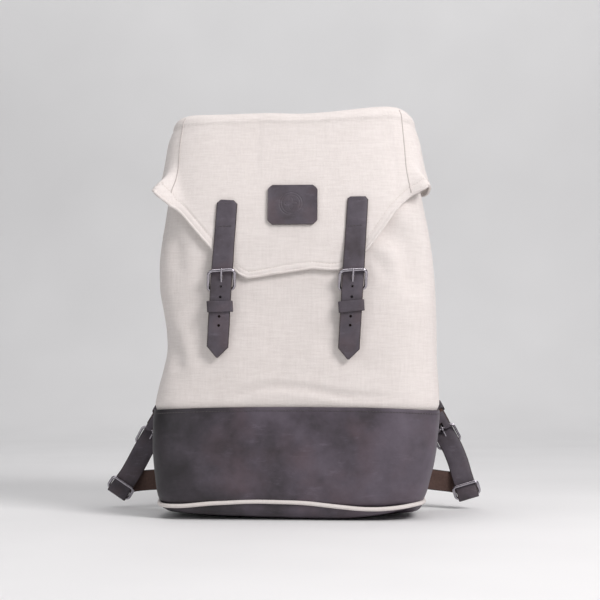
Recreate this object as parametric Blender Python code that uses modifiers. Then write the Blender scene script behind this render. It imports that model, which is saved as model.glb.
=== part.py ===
"""Canvas and leather rucksack: a boxed flap held by two buckled straps, and two shoulder straps.

Metres, +Z up. The origin is the middle of the flat base, the front faces -Y, and the shoulder
straps are on the +Y side. Every soft panel is a thin closed shell, and every metal piece is solid.
"""

import math

import bmesh
import bpy
import numpy as np
from mathutils import Matrix, Vector

# ---------------------------------------------------------------- driving dimensions
CANVAS_T = 0.0024
LEATHER_T = 0.0022
LINING_T = 0.0010
GAP = 0.0005                 # between pieces that touch on the real bag
BACK_Y = 0.072               # the back is a straight wall
CORNER_POWER = 5.0           # superellipse power of the plan outline

# height, half width and half depth of the bag's plan outline
BODY_STATIONS = (
    (0.000, 0.128, 0.056),
    (0.018, 0.147, 0.068),
    (0.060, 0.153, 0.071),
    (0.122, 0.156, 0.072),
    (0.200, 0.154, 0.072),
    (0.290, 0.151, 0.072),
    (0.360, 0.144, 0.069),
    (0.430, 0.127, 0.062),
)
PIPING_Z = 0.020
PIPING_R = 0.0024
LEATHER_TOP = 0.122
MOUTH_Z = 0.428
HEM_R = 0.0021

FLAP_CLEAR = 0.0016          # between the bag's outside and the flap's inside
FLAP_EAR_Z = 0.360           # lower edge of the flap's sides
FLAP_LOW_Z = 0.262           # lower edge of the flap's front
FLAP_LOW_HALF = 0.050        # half width of that lower edge
FLAP_SIDE_TOP = 0.430
FLAP_BACK_Y = 0.0715
FLAP_HINGE_Y, FLAP_HINGE_Z = 0.0730, 0.4412
# share of the way from front to back, and height above FLAP_SIDE_TOP
FLAP_TOP_ROWS = (
    (0.012, 0.0065),
    (0.055, 0.0118),
    (0.15, 0.0142),
    (0.50, 0.0150),
    (0.85, 0.0138),
    (1.00, 0.0120),
)

STRAP_W = 0.0245
STRAP_T = 0.0022
LEAN = math.radians(3.5)     # both front straps hang a little askew
LEAN_FROM_Z = 0.350
STRAP_X = 0.0712             # front strap centre at its sewn upper end
BILLET_TOP_Z, BILLET_TIP_Z = 0.350, 0.1765
HEEL_Z, HEEL_Y = 0.2500, -0.0764
NOSE_Z, NOSE_Y = 0.2706, -0.0858
FRAME_WIRE = 0.0015
FRAME_HALF = 0.0142          # centre of the buckle's side bars
PRONG_R = 0.0012
HOLE_PITCH = 0.0105
HOLE_R = 0.0015
KEEPER_Z = 0.2325
KEEPER_H = 0.0130

ANCHOR_X, ANCHOR_Z = 0.062, 0.391                # where a shoulder strap leaves the yoke
NECK_X, NECK_Y, NECK_Z = 0.0640, 0.0960, 0.3675  # where it starts to swing
CORNER_X, CORNER_Y, CORNER_Z = 0.130, 0.0785, 0.036  # where its lower end is sewn in
PAD_W = 0.046
SHOULDER_T = 0.0032
FOLD_T = 0.0012
BAR_HALF = 0.0100            # from a strap buckle's middle to each of its bars
HEEL_LIFT, NOSE_DROP = 0.0058, 0.0031
LOOP_HALF_W, LOOP_HALF_H = 0.0145, 0.0065
LOOP_SHIFT = 0.0034          # how far each bar of a loop stands off the strap's middle
LOOP_WIRE = 0.0015
BUCKLE_AT = {"left": (-0.1835, 0.1010, 0.0800), "right": (0.1735, 0.1010, 0.0840)}
LOOP_AT = {"left": (-0.2150, 0.0840, 0.0235), "right": (0.1960, 0.0840, 0.0225)}
SHOULDER_RUN = {"left": (-0.36, -0.30, -0.68), "right": (0.36, -0.30, -0.68)}
LOOP_RUN = {"left": (-0.040, -0.012, -0.060), "right": (0.020, -0.012, -0.066)}

HANDLE_HALF, HANDLE_DROP, HANDLE_R = 0.030, 0.040, 0.0048
HANDLE_Y, HANDLE_Z = 0.0842, 0.406
HANDLE_STEPS = 14

COLOURS = {
    "canvas": ((0.78, 0.72, 0.67, 1), 0.9, 0.0),
    "leather": ((0.085, 0.065, 0.065, 1), 0.6, 0.0),
    "metal": ((0.62, 0.60, 0.60, 1), 0.25, 1.0),
    "lining": ((0.62, 0.58, 0.52, 1), 0.9, 0.0),
    "board": ((0.20, 0.18, 0.16, 1), 0.8, 0.0),
}


# ---------------------------------------------------------------- scene and helpers
def clear_scene():
    for obj in list(bpy.data.objects):
        bpy.data.objects.remove(obj)


def new_collection(name, hidden=False):
    made = bpy.data.collections.new(name)
    bpy.context.scene.collection.children.link(made)
    made.hide_render = hidden
    return made


def material(name):
    found = bpy.data.materials.get(name)
    if found:
        return found
    colour, roughness, metallic = COLOURS[name]
    made = bpy.data.materials.new(name)
    made.use_nodes = True
    shader = made.node_tree.nodes["Principled BSDF"]
    shader.inputs["Base Color"].default_value = colour
    shader.inputs["Roughness"].default_value = roughness
    shader.inputs["Metallic"].default_value = metallic
    return made


def add_object(name, data, slot, smooth=True):
    obj = bpy.data.objects.new(name, data)
    BAG.objects.link(obj)
    data.materials.append(material(slot))
    if smooth and isinstance(data, bpy.types.Mesh):
        data.shade_smooth()
        data.set_sharp_from_angle(angle=math.radians(40))
    return obj


def sheet(name, rows, thickness, slot, cyclic=False):
    """A closed thin shell whose middle surface runs through the rows of points."""
    mesh = bmesh.new()
    grid = [[mesh.verts.new(p) for p in row] for row in rows]
    columns = len(grid[0])
    last = columns if cyclic else columns - 1
    for upper, lower in zip(grid, grid[1:]):
        for i in range(last):
            j = (i + 1) % columns
            mesh.faces.new((upper[i], upper[j], lower[j], lower[i]))
    bmesh.ops.recalc_face_normals(mesh, faces=mesh.faces)
    data = bpy.data.meshes.new(name)
    mesh.to_mesh(data)
    mesh.free()
    obj = add_object(name, data, slot)
    solidify = obj.modifiers.new("thickness", "SOLIDIFY")
    solidify.thickness = thickness
    solidify.offset = 0.0
    solidify.use_even_offset = True
    return obj


def box(name, size, centre, slot, collection=None):
    mesh = bmesh.new()
    bmesh.ops.create_cube(mesh, size=1.0)
    bmesh.ops.scale(mesh, vec=size, verts=mesh.verts)
    data = bpy.data.meshes.new(name)
    mesh.to_mesh(data)
    mesh.free()
    if collection:
        obj = bpy.data.objects.new(name, data)
        collection.objects.link(obj)
        obj.hide_render = True
        obj.display_type = "WIRE"
    else:
        obj = add_object(name, data, slot, smooth=False)
    obj.location = centre
    return obj


def cylinder_cutter(name, radius, length, centre, axis):
    """A cutter cylinder along axis. It stretches to an oval when radius is a pair."""
    across, along = radius if isinstance(radius, tuple) else (radius, radius)
    mesh = bmesh.new()
    bmesh.ops.create_cone(mesh, cap_ends=True, segments=12, radius1=1.0, radius2=1.0, depth=length)
    bmesh.ops.scale(mesh, vec=(across, along, 1.0), verts=mesh.verts)
    data = bpy.data.meshes.new(name)
    mesh.to_mesh(data)
    mesh.free()
    obj = bpy.data.objects.new(name, data)
    CUTTERS.objects.link(obj)
    obj.hide_render = True
    obj.display_type = "WIRE"
    obj.location = centre
    obj.rotation_euler = Vector(axis).to_track_quat("Z", "Y").to_euler()
    return obj


def pivot(name, place, *pieces):
    """An empty on a joint's axis, with the pieces that turn about it as its children."""
    empty = bpy.data.objects.new(name, None)
    BAG.objects.link(empty)
    empty.location = place
    empty.empty_display_size = 0.02
    for piece in pieces:
        child = bpy.data.objects[piece]
        child.parent = empty
        child.matrix_parent_inverse = Matrix.Translation(place).inverted()
    return empty


def cut(obj, cutter):
    boolean = obj.modifiers.new("cut " + cutter.name, "BOOLEAN")
    boolean.operation = "DIFFERENCE"
    boolean.object = cutter


def wire(name, points, radius, slot, cyclic=False, sides=2):
    """A round wire through the points. It becomes a mesh, so that it can be joined."""
    curve = bpy.data.curves.new(name, "CURVE")
    curve.dimensions = "3D"
    curve.bevel_depth = radius
    curve.bevel_resolution = sides
    curve.use_fill_caps = not cyclic
    spline = curve.splines.new("POLY")
    spline.points.add(len(points) - 1)
    for point, place in zip(spline.points, points):
        point.co = (*place, 1.0)
    spline.use_cyclic_u = cyclic
    guide = bpy.data.objects.new(name + "_guide", curve)
    BAG.objects.link(guide)
    graph = bpy.context.evaluated_depsgraph_get()
    data = bpy.data.meshes.new_from_object(guide.evaluated_get(graph))
    bpy.data.objects.remove(guide)
    mesh = bmesh.new()
    mesh.from_mesh(data)
    bmesh.ops.remove_doubles(mesh, verts=mesh.verts, dist=0.00001)
    mesh.to_mesh(data)
    mesh.free()
    data.name = name
    return add_object(name, data, slot)


def smooth_path(points, steps):
    """A centripetal Catmull-Rom path through the given points, steps to a span."""
    path = [Vector(p) for p in points]
    path = [2 * path[0] - path[1], *path, 2 * path[-1] - path[-2]]
    out = []
    for a, b, c, d in zip(path, path[1:], path[2:], path[3:]):
        t1 = (b - a).length ** 0.5
        t2 = t1 + (c - b).length ** 0.5
        t3 = t2 + (d - c).length ** 0.5
        for i in range(steps):
            t = t1 + (t2 - t1) * i / steps
            ab = a.lerp(b, t / t1)
            bc = b.lerp(c, (t - t1) / (t2 - t1))
            cd = c.lerp(d, (t - t2) / (t3 - t2))
            abc = ab.lerp(bc, t / t2)
            bcd = bc.lerp(cd, (t - t1) / (t3 - t1))
            out.append(abc.lerp(bcd, (t - t1) / (t2 - t1)))
    out.append(path[-2])
    return out


def rounded_loop(half_w, half_h, radius, steps=3):
    """Points of a rounded rectangle in its own plane, anticlockwise."""
    out = []
    for cx, cy, start in ((1, 1, 0), (-1, 1, 90), (-1, -1, 180), (1, -1, 270)):
        for i in range(steps + 1):
            angle = math.radians(start + 90 * i / steps)
            out.append((cx * (half_w - radius) + radius * math.cos(angle),
                        cy * (half_h - radius) + radius * math.sin(angle)))
    return out


# ---------------------------------------------------------------- the bag's outline
def half_sizes(z):
    """Half width and half depth of the outline at height z."""
    heights, widths, depths = zip(*BODY_STATIONS)
    return float(np.interp(z, heights, widths)), float(np.interp(z, heights, depths))


def outline(t, z, grow=0.0):
    """The point of the plan outline at turn t (0 is +X, a quarter is +Y), grown outwards."""
    half_w, half_d = half_sizes(z)
    c, s = math.cos(2 * math.pi * t), math.sin(2 * math.pi * t)
    x = (half_w + grow) * math.copysign(abs(c) ** (2 / CORNER_POWER), c)
    y = (half_d + grow) * math.copysign(abs(s) ** (2 / CORNER_POWER), s)
    return Vector((x, BACK_Y - half_d + y, z))


def front_y(x, z, grow=0.0):
    """How far forward the bag's front is at x and z."""
    half_w, half_d = half_sizes(z)
    share = min(abs(x) / (half_w + grow), 0.97)
    return BACK_Y - half_d - (half_d + grow) * (1 - share ** CORNER_POWER) ** (1 / CORNER_POWER)


def arc_turns(start, end, count):
    """Turns from start to end whose points lie about evenly along the outline."""
    fine = np.linspace(start, end, 400)
    points = np.array([outline(t, 0.2)[:2] for t in fine])
    run = np.concatenate([[0], np.cumsum(np.linalg.norm(np.diff(points, axis=0), axis=1))])
    return np.interp(np.linspace(0, run[-1], count + 1), run, fine)


SEAM_TURN = 0.0026            # share of a turn left free at each panel's upright edge
SIDES = {
    "right": (-0.125, 0.125, 8),
    "back": (0.125, 0.375, 10),
    "left": (0.375, 0.625, 8),
    "front": (0.625, 0.875, 10),
}


def side_turns(side):
    start, end, count = SIDES[side]
    return arc_turns(start + SEAM_TURN, end - SEAM_TURN, count)


def wall(name, side, low, high, rows, thickness, slot, inset=0.0):
    turns = side_turns(side)
    heights = np.linspace(low, high, rows + 1)
    grow = -thickness / 2 - inset
    return sheet(name, [[outline(t, z, grow) for t in turns] for z in heights], thickness, slot)


# ---------------------------------------------------------------- the bag
def make_body():
    for side in SIDES:
        wall(f"base_{side}", side, PIPING_Z + 0.0032, LEATHER_TOP - GAP, 2, LEATHER_T, "leather")
        wall(f"canvas_{side}", side, LEATHER_TOP + GAP, MOUTH_Z, 5, CANVAS_T, "canvas")


def make_base():
    """The leather bottom, its piping, the board that stiffens it and the lining."""
    turns = arc_turns(0, 1, 36)[:-1]
    rim = [(PIPING_Z - 0.0035, 0.0), (0.0095, -0.0045), (0.0040, -0.012), (LEATHER_T / 2, -0.022)]
    rows = [[outline(t, PIPING_Z, grow - LEATHER_T / 2) for t in turns] for _, grow in rim]
    for row, (z, _) in zip(rows, rim):
        for point in row:
            point.z = z
    mesh = bmesh.new()
    grid = [[mesh.verts.new(p) for p in row] for row in rows]
    for upper, lower in zip(grid, grid[1:]):
        for i in range(len(turns)):
            j = (i + 1) % len(turns)
            mesh.faces.new((upper[i], upper[j], lower[j], lower[i]))
    mesh.faces.new(grid[-1])
    bmesh.ops.recalc_face_normals(mesh, faces=mesh.faces)
    data = bpy.data.meshes.new("bottom_panel")
    mesh.to_mesh(data)
    mesh.free()
    bottom = add_object("bottom_panel", data, "leather")
    solidify = bottom.modifiers.new("thickness", "SOLIDIFY")
    solidify.thickness = LEATHER_T
    solidify.offset = 0.0
    solidify.use_even_offset = True

    ring = [outline(t, PIPING_Z, -0.0004) for t in turns]
    wire("bottom_piping", ring, PIPING_R, "canvas", cyclic=True)

    plate = [outline(t, PIPING_Z, -0.030).xy for t in turns]
    curve = bpy.data.curves.new("base_board", "CURVE")
    curve.dimensions = "2D"
    curve.fill_mode = "BOTH"
    curve.extrude = 0.0008
    spline = curve.splines.new("POLY")
    spline.points.add(len(plate) - 1)
    for point, place in zip(spline.points, plate):
        point.co = (place.x, place.y, 0.0, 1.0)
    spline.use_cyclic_u = True
    board = bpy.data.objects.new("base_board", curve)
    board.location.z = LEATHER_T + GAP + 0.0008
    curve.materials.append(material("board"))
    BAG.objects.link(board)


def make_lining():
    """An open-topped bag of thin cloth just inside the walls."""
    turns = arc_turns(0, 1, 28)[:-1]
    inset = CANVAS_T + 3 * GAP + LINING_T / 2
    heights = (0.026, 0.122, 0.210, 0.300, 0.360, MOUTH_Z - 0.004)
    mesh = bmesh.new()
    grid = [[mesh.verts.new(outline(t, z, -inset)) for t in turns] for z in heights]
    floor_z = LEATHER_T + 2 * GAP + 0.0016 + LINING_T
    low = []
    for z, grow in ((0.015, -0.012), (floor_z, -0.026)):
        ring = [outline(t, PIPING_Z, grow) for t in turns]
        for point in ring:
            point.z = z
        low.append([mesh.verts.new(p) for p in ring])
    grid = [low[1], low[0], *grid]
    for upper, lower in zip(grid, grid[1:]):
        for i in range(len(turns)):
            j = (i + 1) % len(turns)
            mesh.faces.new((upper[i], upper[j], lower[j], lower[i]))
    mesh.faces.new(grid[0])
    bmesh.ops.recalc_face_normals(mesh, faces=mesh.faces)
    data = bpy.data.meshes.new("lining")
    mesh.to_mesh(data)
    mesh.free()
    lining = add_object("lining", data, "lining")
    solidify = lining.modifiers.new("thickness", "SOLIDIFY")
    solidify.thickness = LINING_T
    solidify.offset = 0.0
    solidify.use_even_offset = True


def make_mouth():
    """The rolled hem round the mouth."""
    turns = arc_turns(0, 1, 32)[:-1]
    ring = [outline(t, MOUTH_Z, -CANVAS_T / 2) + Vector((0, 0, HEM_R + GAP)) for t in turns]
    wire("mouth_hem", ring, HEM_R, "canvas", cyclic=True)


# ---------------------------------------------------------------- the flap
def lean_shift(z):
    """How far the askew front pieces have moved sideways at height z."""
    return -math.tan(LEAN) * max(LEAN_FROM_Z - z, 0.0)


FLAP_GROW = FLAP_CLEAR + CANVAS_T / 2


def flap_front_row(z, columns):
    seam_x = abs(outline(0.625, max(z, FLAP_EAR_Z), FLAP_GROW).x) - GAP
    if z >= FLAP_EAR_Z:
        half = seam_x
    else:
        share = (z - FLAP_LOW_Z) / (FLAP_EAR_Z - FLAP_LOW_Z)
        half = FLAP_LOW_HALF + (seam_x - FLAP_LOW_HALF) * share
    row = []
    for i in range(columns + 1):
        x = half * (2 * i / columns - 1) + lean_shift(z)
        row.append(Vector((x, front_y(x, z, FLAP_GROW), z)))
    return row


def flap_top_row(share, lift, columns):
    """A row across the flap's top, share of the way from front to back."""
    z = FLAP_SIDE_TOP
    half_w, half_d = half_sizes(z)
    front = front_y(0.0, z, FLAP_GROW)
    y = front + (FLAP_BACK_Y - front) * share
    middle = BACK_Y - half_d
    reach = min(abs(y - middle) / (half_d + FLAP_GROW), 1.0)
    seam_x = abs(outline(0.625, z, FLAP_GROW).x) - GAP
    half = max(seam_x, (half_w + FLAP_GROW) * (1 - reach ** CORNER_POWER) ** (1 / CORNER_POWER))
    row = []
    for i in range(columns + 1):
        x = half * (2 * i / columns - 1)
        bow = max(front_y(x, z, FLAP_GROW) - front, 0.0) * (1 - share) ** 6
        row.append(Vector((x, y + bow, z + lift)))
    return row


def make_flap():
    columns = 18
    heights = (FLAP_LOW_Z, 0.285, 0.310, 0.335, FLAP_EAR_Z, 0.395, FLAP_SIDE_TOP)
    rows = [flap_front_row(z, columns) for z in heights]
    for share, lift in FLAP_TOP_ROWS:
        rows.append(flap_top_row(share, lift, columns))
    sheet("flap_panel", rows, CANVAS_T, "canvas")
    for label, start, end in (("right", -0.114, 0.060), ("left", 0.440, 0.614)):
        turns = arc_turns(start, end, 8)
        edges = ((FLAP_EAR_Z, 0.0030), (0.395, 0.0022), (FLAP_SIDE_TOP, 0.0018), (0.4375, -0.0006))
        rows = [[outline(t, z, FLAP_GROW + more) for t in turns] for z, more in edges]
        sheet(f"flap_side_{label}", rows, CANVAS_T, "canvas")


def hinge_flap():
    pieces = ["flap_panel", "flap_patch"]
    for label in ("left", "right"):
        pieces += [f"flap_side_{label}", f"flap_strap_{label}"]
    pivot("flap_hinge", (0.0, FLAP_HINGE_Y, FLAP_HINGE_Z), *pieces)


def make_flap_seam():
    """The canvas strip that sews the flap's back edge to the bag."""
    rows = []
    for y, z in ((BACK_Y + 0.0023, 0.4268), (BACK_Y + 0.0023, 0.4345), (BACK_Y + 0.0013, 0.4398)):
        rows.append([Vector((0.106 * s, y, z)) for s in (-1, -0.5, 0, 0.5, 1)])
    sheet("flap_seam_strip", rows, 0.0012, "canvas")


def make_patch():
    half_w, half_h, middle = 0.0272, 0.0220, 0.343
    grow = FLAP_CLEAR + CANVAS_T + GAP + 0.0009
    rows = []
    for share in (-1.0, -0.78, 0.0, 0.78, 1.0):
        z = middle + half_h * share
        half = half_w - (0.005 if abs(share) == 1.0 else 0.0)
        rows.append([Vector((half * s, front_y(half * s, z, grow), z)) for s in (-1, -0.5, 0, 0.5, 1)])
    sheet("flap_patch", rows, 0.0018, "leather")


# ---------------------------------------------------------------- front straps and buckles
def strap_x(side, z):
    return side * STRAP_X + lean_shift(z)


def across(tilt):
    """Unit vector across an askew strap, in the plane of the front."""
    return Vector((math.cos(tilt), 0.0, -math.sin(tilt)))


def ribbon(name, stations, thickness, slot):
    """A flat strap. A station is a centre, the direction across and the width there."""
    rows = [[c - d * w / 2, c, c + d * w / 2] for c, d, w in stations]
    return sheet(name, rows, thickness, slot)


def billet_y(z):
    """Middle of the strap's thickness: on the flap above, over the buckle's heel, then on the bag."""
    on_flap = front_y(STRAP_X, max(z, 0.30), FLAP_CLEAR + CANVAS_T + GAP + STRAP_T / 2)
    heights = (BILLET_TIP_Z, 0.205, 0.222, 0.244, 0.262, 0.285, 0.310)
    places = (-0.0760, -0.0790, -0.0808, -0.0817, -0.0817, -0.0794, on_flap)
    return on_flap if z >= heights[-1] else float(np.interp(z, heights, places))


def make_front_strap(label, side):
    cross = across(-LEAN)
    stations = []
    heights = (BILLET_TOP_Z, BILLET_TOP_Z - 0.004, 0.330, 0.310, 0.296, 0.285, 0.274, 0.262, 0.252,
               0.244, 0.233, 0.222, 0.213, 0.205, 0.188, BILLET_TIP_Z)
    for z in heights:
        width = STRAP_W
        if z == BILLET_TOP_Z:
            width = STRAP_W - 0.008
        elif z == BILLET_TIP_Z:
            width = 0.002
        stations.append((Vector((strap_x(side, z), billet_y(z), z)), cross, width))
    strap = ribbon(f"flap_strap_{label}", stations, STRAP_T, "leather")
    prong_hole = Vector((strap_x(side, 0.2575), -0.081, 0.2575))
    cut(strap, cylinder_cutter(f"prong_slot_{label}", (0.0020, 0.0062), 0.02, prong_hole, (0, 1, 0)))
    for i in range(1, 5):
        z = 0.2630 - HOLE_PITCH * i
        place = Vector((strap_x(side, z), billet_y(z), z))
        cut(strap, cylinder_cutter(f"hole_{label}_{i}", HOLE_R, 0.02, place, (0, 1, 0)))


def buckle_frame(name, heel, nose, cross, half, wire_r):
    """A rounded rectangular loop between its heel bar and its nose bar."""
    up = nose - heel
    centre = (heel + nose) / 2
    points = [centre + cross * x + up.normalized() * y
              for x, y in rounded_loop(half, up.length / 2, 0.0045)]
    return wire(name, points, wire_r, "metal", cyclic=True)


def prong(name, heel, nose, cross, wire_r, prong_r, over):
    """A pin with an eye round the heel bar. It lies over the nose bar and stops just past it."""
    along = (nose - heel).normalized()
    out = cross.cross(along).normalized()
    if out.dot(over) < 0:
        out = -out
    eye_r = wire_r + 0.0003 + prong_r
    eye = [heel + along * eye_r * math.cos(a) + out * eye_r * math.sin(a)
           for a in (2 * math.pi * i / 12 for i in range(12))]
    body = wire(name, eye, prong_r, "metal", cyclic=True)
    reach = (nose - heel).length
    rise = wire_r + 0.0003 + prong_r
    path = [
        heel + along * (eye_r - 0.0003) + out * 0.0004,
        heel + out * (rise * 0.55) + along * (reach * 0.5),
        heel + out * rise + along * (reach - 0.0035),
        heel + out * (rise + 0.0002) + along * reach,
        heel + out * (rise - 0.0002) + along * (reach + 0.0036),
    ]
    shank = wire(name + "_shank", path, prong_r, "metal")
    shank.hide_render = True
    shank.display_type = "WIRE"
    BAG.objects.unlink(shank)
    CUTTERS.objects.link(shank)
    union = body.modifiers.new("shank", "BOOLEAN")
    union.operation = "UNION"
    union.object = shank
    return body


def make_buckle(label, side):
    cross = across(-LEAN)
    heel = Vector((strap_x(side, HEEL_Z), HEEL_Y, HEEL_Z))
    nose = Vector((strap_x(side, NOSE_Z), NOSE_Y, NOSE_Z))
    buckle_frame(f"buckle_frame_{label}", heel, nose, cross, FRAME_HALF, FRAME_WIRE)
    prong(f"buckle_prong_{label}", heel, nose, cross, FRAME_WIRE, PRONG_R, Vector((0, -1, 0)))
    pivot(f"buckle_hinge_{label}", heel, f"buckle_frame_{label}", f"buckle_prong_{label}")

    thin = 0.0012
    turn_r = FRAME_WIRE + GAP + thin / 2
    wall_y = HEEL_Y + turn_r
    stations = [(strap_x(side, z), wall_y, z) for z in (0.206, 0.222, 0.240)]
    for i in range(7):
        angle = math.pi * i / 6
        z = HEEL_Z + turn_r * math.sin(angle)
        stations.append((strap_x(side, z), HEEL_Y + turn_r * math.cos(angle), z))
    stations.append((strap_x(side, 0.2415), HEEL_Y - turn_r, 0.2415))
    tab = ribbon(f"buckle_tab_{label}", [(Vector(p), cross, 0.0215) for p in stations], thin, "leather")
    slot = box(f"tab_slot_{label}", (0.0062, 0.02, 0.016), (heel.x, HEEL_Y, HEEL_Z + 0.0015), None, CUTTERS)
    slot.rotation_euler.y = LEAN
    cut(tab, slot)

    low = KEEPER_Z - KEEPER_H / 2
    inner_y, outer_y = -0.0774, -0.0840
    half = STRAP_W / 2 + 0.0012
    middle = Vector((strap_x(side, KEEPER_Z), (inner_y + outer_y) / 2, KEEPER_Z))
    rows = []
    for z in (low, low + KEEPER_H):
        shift = middle - Vector((0, 0, KEEPER_Z - z))
        shift.x = strap_x(side, z)
        rows.append([shift + cross * x + Vector((0, y, 0))
                     for x, y in rounded_loop(half, (inner_y - outer_y) / 2, 0.0018)])
    sheet(f"strap_keeper_{label}", rows, 0.0013, "leather", cyclic=True)


# ---------------------------------------------------------------- the back
def make_yoke():
    rows = []
    for z, half in ((0.372, 0.078), (0.378, 0.084), (0.400, 0.084), (0.422, 0.084), (0.426, 0.080)):
        rows.append([Vector((half * s, BACK_Y + 0.0004 + LEATHER_T / 2, z)) for s in (-1, -0.5, 0, 0.5, 1)])
    sheet("back_yoke", rows, LEATHER_T, "leather")


def make_handle():
    """A rolled leather handle that hangs in a loop from two feet on the yoke."""
    path = []
    for i in range(HANDLE_STEPS + 1):
        angle = math.pi * i / HANDLE_STEPS
        drop = math.sin(angle) ** 0.8
        path.append((HANDLE_HALF * math.cos(angle), HANDLE_Y + 0.004 * drop, HANDLE_Z - HANDLE_DROP * drop))
    wire("grab_handle", path, HANDLE_R, "leather", sides=3)
    pivot("handle_hinge", (0.0, HANDLE_Y, HANDLE_Z), "grab_handle")
    for label, side in (("left", -1), ("right", 1)):
        place = (side * HANDLE_HALF, BACK_Y + 0.0050, HANDLE_Z + 0.002)
        box(f"handle_foot_{label}", (0.014, 0.0024, 0.020), place, "leather")


def local_axes(run):
    """Down the strap, across it, and out of it towards the front, for a strap running along run."""
    down = Vector(run).normalized()
    cross = Vector((0, 1, 0)).cross(-down).normalized()
    front = cross.cross(down).normalized()
    return (down, cross, front) if front.y < 0 else (down, cross, -front)


def flat_path(controls, steps):
    """Smooth stations of (place, direction across, width) through (place, across, width) controls."""
    places = smooth_path([c[0] for c in controls], steps)
    out = []
    for i, place in enumerate(places):
        k, share = divmod(i / steps, 1)
        k = min(int(k), len(controls) - 1)
        j = min(k + 1, len(controls) - 1)
        hint = Vector(controls[k][1]).lerp(Vector(controls[j][1]), share)
        width = controls[k][2] + (controls[j][2] - controls[k][2]) * share
        before, after = places[max(i - 1, 0)], places[min(i + 1, len(places) - 1)]
        along = (after - before).normalized()
        out.append((place, (hint - along * hint.dot(along)).normalized(), width))
    return out


def make_shoulder(label, side):
    buckle, loop = Vector(BUCKLE_AT[label]), Vector(LOOP_AT[label])
    flat = Vector((1, 0, 0))
    neck_end = Vector((side * NECK_X, NECK_Y, NECK_Z))
    neck = [
        (Vector((side * ANCHOR_X, 0.0778, ANCHOR_Z)), flat, PAD_W),
        (Vector((side * (ANCHOR_X + 0.001), 0.0840, 0.3800)), flat, PAD_W),
        (neck_end + Vector((0, -0.0016, 0.0022)), flat, PAD_W),
    ]
    ribbon(f"strap_neck_{label}", flat_path(neck, 3), STRAP_T, "leather")
    root_place = (side * ANCHOR_X, BACK_Y + 0.0058, ANCHOR_Z + 0.011)
    box(f"strap_root_{label}", (PAD_W, 0.0030, 0.016), root_place, "leather")

    down, cross, front = local_axes(SHOULDER_RUN[label])
    heel = buckle - down * BAR_HALF + front * HEEL_LIFT
    nose = buckle + down * BAR_HALF - front * NOSE_DROP
    end = heel - down * 0.0052
    pad = [
        (neck_end - Vector((0, -0.0016, 0.0022)), flat, PAD_W),
        (Vector((side * 0.080, 0.1400, 0.285)), flat, PAD_W),
        (Vector((side * 0.101, 0.1520, 0.210)), flat, PAD_W),
        (Vector((side * 0.126, 0.1400, 0.150)), flat.lerp(cross, 0.6), STRAP_W + 0.008),
        (heel - down * 0.042, cross, STRAP_W),
        (heel - down * 0.032, cross, STRAP_W),
        (end, cross, STRAP_W),
    ]
    ribbon(f"shoulder_strap_{label}", flat_path(pad, 5), SHOULDER_T, "leather")

    fold_r = FRAME_WIRE + 0.0004 + FOLD_T / 2
    fold = [heel - down * d - front * fold_r for d in (0.022, 0.010)]
    for i in range(7):
        angle = math.pi * i / 6
        fold.append(heel - front * fold_r * math.cos(angle) + down * fold_r * math.sin(angle))
    fold += [heel - down * d + front * fold_r for d in (0.010, 0.018)]
    wrap = ribbon(f"strap_fold_{label}", [(p, cross, 0.0215) for p in fold], FOLD_T, "leather")
    slot = box(f"fold_slot_{label}", (0.0062, 0.016, 0.014), heel + down * 0.0015, None, CUTTERS)
    slot.rotation_euler = Matrix((cross, front, down)).transposed().to_euler()
    cut(wrap, slot)
    buckle_frame(f"strap_frame_{label}", heel, nose, cross, FRAME_HALF, FRAME_WIRE)
    prong(f"strap_prong_{label}", heel, nose, cross, FRAME_WIRE, PRONG_R, -front)

    bar = make_lower_strap(label, side, buckle, (down, cross, front), loop)

    inner = HEEL_LIFT + SHOULDER_T / 2 + 0.0013
    outer = -STRAP_T / 2 - 0.0013
    middle = buckle - down * (BAR_HALF + 0.027) + front * (inner + outer) / 2
    rows = [[middle + down * d + cross * x + front * y
             for x, y in rounded_loop(STRAP_W / 2 + 0.0015, (inner - outer) / 2, 0.0014)]
            for d in (-0.005, 0.005)]
    sheet(f"tail_keeper_{label}", rows, 0.0012, "leather", cyclic=True)

    pivot(f"strap_prong_hinge_{label}", heel, f"strap_prong_{label}")
    pivot(f"strap_loop_hinge_{label}", bar, f"strap_loop_{label}")
    swinging = ("shoulder_strap", "strap_fold", "strap_frame", "tail_keeper", "lower_strap",
                "strap_prong_hinge", "strap_loop_hinge")
    pivot(f"strap_swing_{label}", neck_end, *(f"{piece}_{label}" for piece in swinging))


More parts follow.
